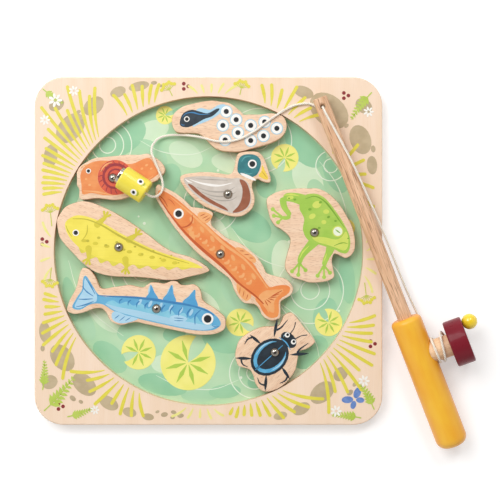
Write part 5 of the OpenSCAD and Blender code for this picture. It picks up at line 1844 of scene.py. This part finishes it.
def pond_sketches() -> list[Sketch]:
    """Paler and darker water, foam lines and bubbles in the pond, and the lily pads' veins.

    Returns:
        Its sketches, in order.
    """
    shallow = (
        (-50, 104, 16, 9, 20), (-104, 40, 10, 22, 8), (22, 76, 20, 9, -10), (96, 30, 9, 26, 0), (68, -14, 13, 24, 12),
        (-88, -52, 14, 22, 40), (-6, -48, 12, 18, 50), (62, -66, 16, 10, 30), (-38, -98, 12, 8, 0),
        (86, 62, 12, 18, 30), (4, 12, 13, 20, 20), (-20, 84, 10, 16, 60), (76, -108, 15, 8, 40), (0, 118, 10, 5, 0))
    current = (
        (-52, 82, 13, 18, 50), (-108, 66, 8, 14, 20), (66, 34, 12, 18, -20), (30, 112, 15, 7, -10),
        (112, 0, 9, 18, 0), (24, -34, 12, 17, 30), (-66, -70, 14, 9, 10), (-108, -64, 8, 15, 26),
        (30, -92, 10, 14, 60), (72, -90, 14, 9, -40), (-24, 8, 11, 15, 0), (94, 50, 8, 13, 20), (-8, -126, 16, 5, 0))
    broad, thin = (0.3, 1.1, 0.3), (0.3, 1, 0.3)
    foam = (
        Stroke(((-122, -8), (-114, -34), (-98, -56), (-74, -74)), broad),
        Stroke(((-60, 96), (-40, 86), (-14, 84), (6, 92)), thin),
        Stroke(((20, 20), (34, 2), (52, -10), (76, -16)), thin),
        Stroke(((60, -44), (78, -58), (92, -78), (96, -92)), broad),
        Stroke(((-46, -108), (-24, -118), (4, -120), (26, -112)), thin),
        Stroke(((96, 78), (110, 60), (118, 40), (121, 22)), thin))
    bubbles = (
        (70, 8, 1.4), (74, 14, 0.9), (-56, 24, 1.3), (-61, 30, 0.9), (28, -110, 1.2), (-96, -100, 1.3),
        (108, 84, 1.1), (-110, 20, 1.2), (8, 70, 1.1), (46, -86, 1.2), (113, -52, 1.1), (-70, 112, 1.2))
    on_pads = BASE_T + 3 * INK_T
    return [
        Sketch("shallow_water", SHALLOW_INK, "ink_water", 0.1, BASE_T, dots=shallow),
        Sketch("current", CURRENT_INK, "ink_depths", 0.13, BASE_T, dots=current),
        Sketch("pad_veins", VEIN_INK, "ink_vein", 0.08, on_pads, tuple(pad_veins()), anew=("lily_veins",)),
        Sketch("foam_lines", FOAM_INK, "ink_ripple", 0.22, BASE_T, foam),
        Sketch("bubbles", FOAM_INK, "ink_ripple", 0.26, BASE_T, dots=tuple((x, y, r, r, 0) for x, y, r in bubbles)),
    ]


def pike_sketches() -> list[Sketch]:
    """The pike: a darker back, apricot belly, blotches and fins, its gill and mouth, and its tail's rays.

    Returns:
        Its sketches, in order.
    """
    step = 8.6
    blotches = [Stroke(((35.4 - step * k, 4.6 - 0.2 * k), (33.2 - step * k, 2.2 - 0.25 * k),
                        (34.4 - step * k, -0.4 - 0.3 * k)), (1.6, 2.7, 1.3)) for k in range(9)]
    blotches += strokes((1.8, 1.8, 1.4), *(
        ((30.6 - step * k, 3.6 - 0.3 * k), (29.2 - step * k, 2 - 0.3 * k)) for k in range(8)))
    rays = strokes((0.3, 0.9, 0.5), *(
        ((-55 - 0.4 * k, 2 - 1.4 * k), (-61 + 0.3 * abs(k - 2), 3.6 - 3.6 * k)) for k in range(6)))
    fins = (
        ((36, -9.4), (38, -13), (34, -17.2), (28, -18.6), (26.6, -14), (28, -9.8)),
        ((-6, -12.4), (-8.6, -16), (-16, -18), (-25, -18), (-26, -14.4), (-17, -13)),
        ((-28, 8), (-32, 12.4), (-39, 14.4), (-44.6, 13), (-44, 7.2), (-36, 7.4)))
    edges = strokes(
        (0.3, 0.7, 0.3), ((35.4, -11), (33.4, -16)), ((32.4, -11), (30.4, -16.8)), ((29.4, -11), (28.2, -16.4)),
        ((-10, -13.6), (-13.4, -16.4)), ((-15, -14), (-18.4, -17)), ((-20, -14.8), (-23, -17.2)),
        ((-32, 8.6), (-35.6, 13)), ((-36.6, 8.4), (-39.6, 13.2)), ((-41, 8.2), (-43.2, 12.4)))
    back = (
        Stroke(((71, 2), (54, 5.6), (34, 7.8), (14, 7.8), (-8, 6.4), (-28, 7), (-46, 5), (-57, 5)), (0.7, 2.6, 1)),
        Stroke(((41, -7.6), (37, -3), (37.4, 3), (41, 7.8)), (0.5, 1.4, 0.5)),
        Stroke(((75, 0.6), (68, 0.2), (61, 2.2)), (0.4, 1, 0.4)),
        Stroke(((66, -2.6), (62, -3.6), (57, -2.8)), (0.2, 0.6, 0.2)))
    belly = strokes(
        (0.5, 2.6, 0.7), ((66, -5.6), (46, -7.2), (26, -8), (4, -8.4), (-18, -11.2), (-36, -9.6), (-50, -7)))
    tail = (
        (-50, -7), (-57, -18), (-63, -21), (-65.6, -16), (-64, -8), (-66, -4), (-71, 1), (-72.6, 5), (-69, 9.6),
        (-63, 10.6), (-55, 8.4), (-48, 6))
    root = (
        (-50, -4.6), (-55.6, -10), (-59.6, -15.4), (-61, -12), (-61, -6), (-62.4, -2), (-66, 1.4), (-68, 4.6),
        (-62, 6.6), (-54, 5.2), (-49, 3))
    return [
        Sketch("pike_tail", INKS["pike_print"], "ink_orange", 0.09, fills=(tail,)),
        Sketch("pike_tail_root", APRICOT_INK, "ink_apricot", 0.14, fills=(root,)),
        Sketch("pike_fins", APRICOT_INK, "ink_apricot", 0.11, fills=fins, strokes=belly),
        Sketch("pike_blotches", APRICOT_INK, "ink_apricot", 0.18, strokes=tuple(blotches)),
        Sketch("pike_back", RUST_INK, "ink_orange", 0.2, strokes=back + rays + edges),
    ]


def stickleback_sketches() -> list[Sketch]:
    """The stickleback: a pale flank and tail, three spines, a dark back, side plates, rays, gill and mouth.

    Returns:
        Its sketches, in order.
    """
    spines = (
        ((-10.5, 6.4), (-8.6, 13), (-9, 19), (-5, 14), (0, 7.6)),
        ((4, 8.6), (7, 16), (8.6, 22.6), (11.6, 16), (15, 9)),
        ((21, 9.4), (25.6, 17), (29, 22.8), (31, 16), (34, 9)))
    fins = (
        ((-14, -11.6), (-19, -15.6), (-27, -18.6), (-34, -17.6), (-36.6, -13), (-34, -9.6), (-24, -11)),
        ((28, -3), (20, -1.4), (13, -4.4), (14.6, -8.6), (22, -8.6)))
    back = (
        Stroke(((-52, 0.6), (-38, 2.6), (-24, 5), (-6, 7), (12, 8), (28, 8.8), (42, 7.4), (50, 4.6)), (0.6, 2.4, 1)),
        Stroke(((37.6, 7), (34, 1), (35.4, -6.6)), (0.5, 1.3, 0.5)),
        Stroke(((56.4, -3.6), (53, -4.8), (49.4, -4.2)), (0.4, 0.9, 0.3)))
    step = 7.4
    plates = strokes((0.9, 1.2, 0.3), *(
        ((29 - step * k, 6.4 - 0.5 * k), (27 - step * k, 1.6 - 0.2 * k), (27.6 - step * k, -2.6)) for k in range(9)))
    rays = strokes(
        (0.4, 1.1, 0.4), ((-54, 1), (-60, 8), (-65, 13)), ((-55, -1), (-62, 2), (-66.6, 6)),
        ((-55, -3), (-62, -5), (-67.6, -6)), ((-54, -5), (-61, -9.6), (-68, -13)))
    rays += strokes(
        (0.3, 0.8, 0.3), ((-20, -12), (-24, -16)), ((-25, -12), (-29, -17)), ((-30, -12), (-33.4, -16)),
        ((25, -3.6), (16.4, -4.6)), ((25, -5.4), (17, -7)))
    flank = (
        (51, -6.6), (46, -1), (40, -3.4), (35, 0.6), (30, -2.6), (24, 1.4), (18, -2), (12, 2), (6, -1.6), (-1, 2.2),
        (-7, -1.4), (-14, 1.6), (-20, -1.6), (-26, 0.6), (-32, -2.4), (-38, -0.8), (-43, -4.6), (-34, -9.2),
        (-16, -10.8), (4, -11.3), (26, -11.3), (42, -9.8))
    tail = (
        (-53, 1.4), (-59.6, 8), (-64.4, 12.8), (-65.8, 10.6), (-64.8, 3), (-67.4, -5), (-69.2, -12.8), (-64, -13),
        (-57, -7.4), (-52, -4.8))
    return [
        Sketch("stickleback_flank", FLANK_INK, "ink_wing_blue", 0.12, fills=(flank,)),
        Sketch("stickleback_tail", PALE_BLUE_INK, "ink_pale_blue", 0.13, fills=(tail,)),
        Sketch("stickleback_spines", SKY_INK, "ink_blue", 0.18, fills=spines),
        Sketch("stickleback_small_fins", PALE_BLUE_INK, "ink_pale_blue", 0.19, fills=fins),
        Sketch("stickleback_back", DEEP_BLUE_INK, "ink_blue", 0.22, strokes=back + plates + rays),
    ]


def newt_sketches() -> list[Sketch]:
    """The newt: a wavy crest, an olive flank with spots, and its mouth.

    Returns:
        Its sketches, in order.
    """
    crest = (
        (32, 10), (28.6, 15.8), (24, 13.4), (20, 18), (15, 14.8), (10, 18.4), (5, 14.4), (-1, 17), (-6, 12.4),
        (-12, 14.4), (-17, 9.8), (-23, 11.4), (-29, 6.6), (-35, 7.8), (-41, 2.8), (-47, 3.8), (-53, -1),
        (-58, -0.4), (-64, -5), (-50, -2), (-34, 3), (-18, 7.6), (-2, 11), (14, 12.4))
    flank = (
        Stroke(((46, -9.4), (34, -13), (20, -12.6), (4, -9.6), (-12, -7.6), (-28, -6.4), (-46, -6.6), (-62, -7.6)),
               (0.5, 2, 0.4)),
        *strokes((0.3, 0.9, 0.3), ((49.4, -2.4), (46, 1.6), (41, 5.4)), ((32, -9), (30, -2), (31.6, 6))))
    spots = tuple((27 - 8 * k, 1.6 - 0.9 * k + 2.4 * (-1) ** k, 1.5 - 0.07 * k, 1.1 - 0.06 * k, 20) for k in range(11))
    return [
        Sketch("newt_crest", CREST_INK, "ink_lemon", 0.06, fills=(crest,)),
        Sketch("newt_flank", OLIVE_INK, "ink_lemon", 0.2, strokes=flank, dots=spots),
    ]


def frog_sketches() -> list[Sketch]:
    """The frog: its skin with full limbs and round toe pads, lime highlights, dark lines and its pale eye.

    Returns:
        Its sketches, in order.
    """
    skin = (
        (-10, 31), (0, 33.5), (9, 29.5), (17, 20), (25, 8), (30, -3), (30.5, -12), (28, -17.5), (23, -17.5),
        (16, -14), (6, -11), (-5, -7), (-10, 2), (-9, 12), (-13, 21))
    # Each foot's ankle, and the ends of its toes.
    feet = (
        ((-27.4, 12.8), ((-36, 20), (-35, 14.4), (-31.4, 8.8))),
        ((-13, -26.4), ((-19.4, -33.4), (-14, -36.4), (-7.8, -32.4))),
        ((8, -28.4), ((2.6, -37.2), (8.2, -38.4), (13.2, -34.6))))
    limbs = (
        Stroke(((-3, 24.4), (-12, 28.6), (-20, 30.4), (-27, 30)), (11, 9, 6.4)),
        Stroke(((-27.6, 30.4), (-26, 22), (-20.8, 14.6)), (6.4, 5, 3.8)),
        Stroke(((-20.8, 14.6), (-24, 12.6), (-27.8, 12.9)), (3.8, 3.2, 3.6)),
        Stroke(((3, -4), (-3, -10.6), (-8.4, -16.6), (-11.8, -21.6), (-13, -26.8)), (10, 6.4, 3.8)),
        Stroke(((15, -9), (12.8, -16), (10.8, -20.6), (9.2, -24.4), (8, -28.8)), (9, 5.4, 3.8)))
    limbs += strokes((2.4, 1.5, 2), *((ankle, end) for ankle, ends in feet for end in ends))
    pads = tuple((x, y, 1.75, 1.75, 0) for _, ends in feet for x, y in ends)
    lit = (
        Stroke(((-13, 31.4), (-20, 32.8), (-27, 32)), (0.4, 1.7, 0.4)),
        Stroke(((-4.6, -11.4), (-10, -16.8), (-13, -22.6)), (0.4, 1.3, 0.4)),
        Stroke(((10.4, -18), (9.2, -21.6), (7.6, -25)), (0.4, 1, 0.4)))
    lines = (
        Stroke(((-8, 29), (0, 31.2), (8, 27.4), (15, 19.4), (22, 9.4), (26, 4)), (0.4, 1.5, 0.4)),
        Stroke(((28.6, -9.6), (24.6, -8.8), (20, -10), (16.4, -11.6)), (0.4, 0.9, 0.3)))
    dots = (
        (28.8, -5, 0.7, 0.5, 20), (5, 26, 1.4, 1, 20), (12, 13.4, 1.3, 1, 30), (-4, 20, 1.5, 1.1, 10),
        (4, 4, 1.2, 0.9, 0), (18, 10, 1.1, 0.8, 0), (-17, 28.4, 1.3, 0.9, 14), (-22, 29.4, 1, 0.7, 0))
    slit = strokes((0.5, 1.2, 0.5), ((17.8, 2.6), (20, 1), (22.2, -0.6)))
    return [
        Sketch("frog_skin", INKS["frog_print"], "ink_green", 0.08, strokes=limbs, fills=(skin,), dots=pads,
               anew=("frog_print",)),
        Sketch("frog_light", INKS["frog_spot_print"], "ink_lime", 0.12, strokes=lit),
        Sketch("frog_lines", LEAF_GREEN_INK, "ink_green", 0.2, strokes=lines, dots=dots),
        Sketch("frog_eye_ring", INKS["frog_spot_print"], "ink_lime", 0.36, dots=((20, 1, 4.9, 4.9, 0),)),
        Sketch("frog_eye", PALE_EYE_INK, "ink_white", 0.39, dots=((20, 1, 3.9, 3.9, 0),)),
        Sketch("frog_slit", LEAF_GREEN_INK, "ink_green", 0.42, strokes=slit),
    ]


def duck_sketches() -> list[Sketch]:
    """The duck: a white wing edge and tail, grey feathers, a lit crown, and its bill's line.

    Returns:
        Its sketches, in order.
    """
    white = (
        Stroke(((-33, 12.8), (-22, 9.2), (-8, 7.4), (4, 9.8)), (0.4, 2.2, 0.4)),
        Stroke(((-37, 13.2), (-34, 11), (-30.6, 10)), (0.4, 1.4, 0.4)))
    grey = (
        Stroke(((-27, 6), (-15, 2.4), (-2, 2.4), (6, 6)), (0.3, 1.2, 0.3)),
        Stroke(((-23, 2), (-12, -1.6), (0, -1.6), (7, 2)), (0.3, 1.2, 0.3)),
        Stroke(((-17, -2.4), (-8, -5.2), (2, -5.2), (8, -2)), (0.3, 1.1, 0.3)),
        Stroke(((-28, 13.4), (-14, 12.6), (0, 12)), (0.3, 1, 0.3)))
    crown = (
        Stroke(((11.6, 28), (14.6, 31.8), (20, 32.6)), (0.3, 1.2, 0.3)),
        Stroke(((14, 19), (17, 17.4), (21, 18)), (0.3, 1, 0.3)))
    bill = strokes((0.3, 0.6, 0.3), ((29, 20), (31.2, 17.2), (33.6, 14)))
    return [
        Sketch("duck_wing_edge", FEATHER_WHITE_INK, "ink_white", 0.12, strokes=white),
        Sketch("duck_feathers", FEATHER_GREY_INK, "ink_dove", 0.14, strokes=grey),
        Sketch("duck_crown", TEAL_INK, "ink_teal", 0.12, strokes=crown),
        Sketch("duck_bill_line", GOLD_INK, "ink_yellow", 0.12, strokes=bill),
    ]


def beetle_sketches() -> list[Sketch]:
    """The beetle: jointed feet, feelers, blue seams, gloss on its wing cases, and its eyes.

    Returns:
        Its sketches, in order.
    """
    feet = pair(((13.4, 13.4), (18.6, 12.4), (27, 13.4)), (1.8, 1.2, 0.5))
    feet += pair(((-5.6, 22.6), (-9.6, 24), (-15, 22.6)), (1.6, 1.2, 0.4))
    feet += pair(((-25.4, 15.4), (-27.4, 11), (-25.6, 6)), (1.6, 1.2, 0.4))
    feet += pair(((20, 3), (26, 4.4), (31, 7.6)), (0.9, 0.7, 0.9))
    for k in range(3):
        feet += pair(((-8 - 2.2 * k, 23.6 - 0.3 * k), (-8.6 - 2.2 * k, 26 - 0.6 * k)), (0.4, 0.4, 0.3))
    blue = (
        Stroke(((11.4, -7.4), (12.8, 0), (11.4, 7.4)), (0.4, 1.3, 0.4)),
        Stroke(((9.4, 0), (-7, 0), (-23, 0)), (0.5, 0.8, 0.4)))
    gloss = pair(((5, 8.6), (-4, 11), (-13, 9.6)), (0.3, 1.1, 0.3))
    gloss += strokes((0.2, 0.6, 0.2), ((14.4, 4.6), (16, 5.6), (17.6, 4.8)))
    whites, pupils = (tuple((x, side * 4, r, r, 0) for side in (1, -1)) for x, r in ((18, 2.2), (18.4, 1.2)))
    return [
        Sketch("beetle_feet", NAVY_INK, "ink_navy", 0.1, strokes=feet),
        Sketch("beetle_seams", SKY_INK, "ink_wing_blue", 0.2, strokes=blue),
        Sketch("beetle_gloss", PALE_BLUE_INK, "ink_pale_blue", 0.22, strokes=gloss),
        Sketch("beetle_eye_whites", EYE_WHITE_INK, "ink_white", 0.25, dots=whites),
        Sketch("beetle_pupils", EYE_BLACK_INK, "ink_black", 0.28, dots=pupils),
    ]


def snail_sketches() -> list[Sketch]:
    """The snail: its feelers, foot stripes, growth ribs across the shell and a highlight on it.

    A rib goes through the radii r from the shell's middle at the angle a + 0.03 (r - 8) radians.

    Returns:
        Its sketches, in order.
    """
    foot = (
        Stroke(((-26, -11), (-14, -12), (0, -15)), (0.4, 1.5, 0.4)),
        Stroke(((14, -11), (24, -5.4), (35, 2)), (0.4, 1.6, 0.4)),
        Stroke(((-22, 11), (-25.4, 10.4), (-27.4, 8.2)), (1.1, 0.8, 0.9)))
    dots = (
        (29, 11, 1.3, 0.9, 30), (33, 8, 1.2, 0.8, 30), (25, 8, 1.2, 0.9, 30), (-20, -6, 1.2, 0.9, 0),
        (-23, -1, 1.1, 0.8, 0))
    middle = np.array([2, 0.5])
    ribs = strokes((0.3, 0.8, 0.5), *(
        [middle + r * heading(20 * k + 6 + math.degrees(0.03 * (r - 8))) for r in (9.2, 12, 14.6)] for k in range(18)))
    shine = strokes((0.3, 1.5, 0.3), [middle + 13.4 * heading(a) for a in (100, 120, 140, 160)])
    return [
        Sketch("snail_foot", APRICOT_INK, "ink_apricot", 0.12, strokes=foot, dots=dots),
        Sketch("snail_ribs", MAROON_INK, "ink_maroon", 0.13, strokes=ribs),
        Sketch("snail_shine", APRICOT_INK, "ink_apricot", 0.21, strokes=shine),
    ]


def tadpole_sketches() -> list[Sketch]:
    """The tadpole: a pale tail fin, a sheen down its side and its mouth.

    Returns:
        Its sketches, in order.
    """
    fin = (
        (-31, 14), (-26, 17.4), (-18, 16), (-11, 20), (-5, 20.4), (-6, 16), (-12, 11), (-20, 6.4), (-28, 3.4),
        (-33, 2))
    sheen = (
        Stroke(((-42, 9.6), (-38.6, 12.8), (-33, 13.6), (-26, 12), (-18, 12.4)), (0.3, 1.1, 0.3)),
        Stroke(((-43, 4), (-41.6, 2.8), (-39.6, 2.9)), (0.2, 0.6, 0.2)))
    return [
        Sketch("tadpole_fin", PALE_BLUE_INK, "ink_pale_blue", 0.06, fills=(fin,)),
        Sketch("tadpole_sheen", DEEP_BLUE_INK, "ink_pale_blue", 0.14, strokes=sheen),
    ]


DRAWINGS: dict[str, Callable[[], list[Sketch]]] = {
    "tadpole": tadpole_sketches,
    "duck": duck_sketches,
    "frog": frog_sketches,
    "beetle": beetle_sketches,
    "pike": pike_sketches,
    "newt": newt_sketches,
    "stickleback": stickleback_sketches,
    "snail": snail_sketches,
}


class Board:
    """The board's two sheets and everything printed on it."""

    def build(self, shop: Workshop) -> None:
        """Dresses the sheets and the large prints, and adds the fine print.

        Args:
            shop: dresses the nodes and makes the pieces.
        """
        for name in ("base_panel", "frame_panel"):
            shop.dress(name, BOARD_WOOD)
        for name, ink in INKS.items():
            shop.dress(name, ink)
        for sketch in shore_sketches() + pond_sketches():
            sketch.build(shop)


@dataclass
class Studio:
    """A white table, soft lamps, a pale tent that is darker round the camera, and the camera above.

    Attributes:
        aim: the point on the board that the camera looks down at; height: how far it is over the board.
        span: what the picture's long side takes in at the board's top; sensor: width of the camera's.
        key, fill: the lamps' power; key_at, fill_at: their places in metres; key_size, fill_size: their sides.
        sky: the tent's brightness; dark: its share round the camera; dusk: how steeply overhead the tent
            starts to darken, and where it is darkest, as the height of its direction.
        table_half: half the table's side in metres; table_z: its height; table_grey: its colour.
        glow: what the table adds to its white for the eye and in reflections.
    """

    aim: tuple[float, float] = (35.8, 0.0)
    height: float = 1000.0
    span: float = 432.8
    sensor: float = 36.0
    key: float = 24.0
    key_at: tuple[float, float, float] = (-0.85, 0.85, 1.55)
    key_size: float = 1.2
    fill: float = 8.0
    fill_at: tuple[float, float, float] = (0.5, 1.2, 1.4)
    fill_size: float = 0.6
    sky: float = 0.72
    dark: float = 0.15
    dusk: tuple[float, float] = (0.62, 0.86)
    table_half: float = 3.0
    table_z: float = -0.05
    table_grey: float = 0.8
    glow: float = 0.37

    def camera(self) -> None:
        """The camera, whose lens is its sensor's width times height over span."""
        data = bpy.data.cameras.new("camera")
        data.sensor_width = self.sensor
        data.lens = self.sensor * self.height / self.span
        data.clip_start, data.clip_end = 0.05, 20
        made = bpy.data.objects.new("camera", data)
        made.location = (self.aim[0] * MM, self.aim[1] * MM, (BOARD_T + self.height) * MM)
        bpy.context.scene.collection.objects.link(made)
        bpy.context.scene.camera = made

    def lamp(self, name: str, at: tuple[float, float, float], size: float, power: float) -> None:
        """A square soft lamp that looks at the board's middle.

        Args:
            name: the lamp's name.
            at: its place, in metres.
            size: its side, in metres.
            power: its power, in watts.
        """
        data = bpy.data.lights.new(name, "AREA")
        data.shape, data.size, data.energy = "SQUARE", size, power
        made = bpy.data.objects.new(name, data)
        made.location = at
        towards = Vector((self.aim[0] * MM, 0, 0)) - made.location
        made.rotation_euler = towards.to_track_quat("-Z", "Y").to_euler()
        bpy.context.scene.collection.objects.link(made)

    def floor(self) -> None:
        """The table, a hair under the board, whose white is its colour plus, to the eye and in
        reflections, a glow."""
        n, z = self.table_half, self.table_z * MM
        mesh = bpy.data.meshes.new("table")
        mesh.from_pydata([(-n, -n, z), (n, -n, z), (n, n, z), (-n, n, z)], [], [(0, 1, 2, 3)])
        made = bpy.data.objects.new("table", mesh)
        bpy.context.scene.collection.objects.link(made)
        r = Recipe("table_white")
        eye, glossy = (r.add("LightPath", ray, {}) for ray in ("Is Camera Ray", "Is Glossy Ray"))
        seen = r.add("Math", 0, {0: eye, 1: glossy}, operation="MAXIMUM")
        glow = r.add("Math", 0, {0: seen, 1: self.glow}, operation="MULTIPLY")
        r.surface(Base_Color=(*(self.table_grey,) * 3, 1), Roughness=0.9, Specular_IOR_Level=0.0)
        r.surface(Emission_Color=(1.0, 0.99, 0.985, 1), Emission_Strength=glow)
        mesh.materials.append(r.material)

    def world(self) -> None:
        """Even light from all round, which falls to the dark share overhead, by the direction's height."""
        scene = bpy.context.scene
        scene.world = bpy.data.worlds.new("studio")
        scene.world.use_nodes = True
        tent = Nodes(scene.world.node_tree)
        back = tent.tree.nodes["Background"]
        back.inputs["Color"].default_value = (1.0, 0.985, 0.965, 1)
        up = tent.add("SeparateXYZ", 2, {0: tent.add("TexCoord", "Generated", {})})
        low, high = self.dusk
        light = tent.add("MapRange", 0, {0: up, 1: low, 2: high, 3: self.sky, 4: self.sky * self.dark})
        tent.tree.links.new(light, back.inputs["Strength"])

    def build(self) -> None:
        """Sets up everything but the camera, which comes first."""
        self.world()
        self.floor()
        self.lamp("key_lamp", self.key_at, self.key_size, self.key)
        self.lamp("fill_lamp", self.fill_at, self.fill_size, self.fill)
        bpy.context.scene.view_settings.view_transform = "Standard"


def main() -> None:
    """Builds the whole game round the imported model."""
    logging.basicConfig(level=logging.INFO, format="%(name)s %(message)s")
    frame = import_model()
    shop = Workshop(frame)
    studio = Studio()
    studio.camera()
    Cord().build(shop)
    Board().build(shop)
    for animal in ANIMALS:
        animal.build(shop)
        for sketch in DRAWINGS[animal.name]():
            sketch.build(shop, animal.frame())
        if animal.studded:
            Stud().build(shop, animal)
    Rod().build(shop)
    Reel().build(shop)
    Bait().build(shop)
    studio.build()


if __name__ == "__main__":
    main()
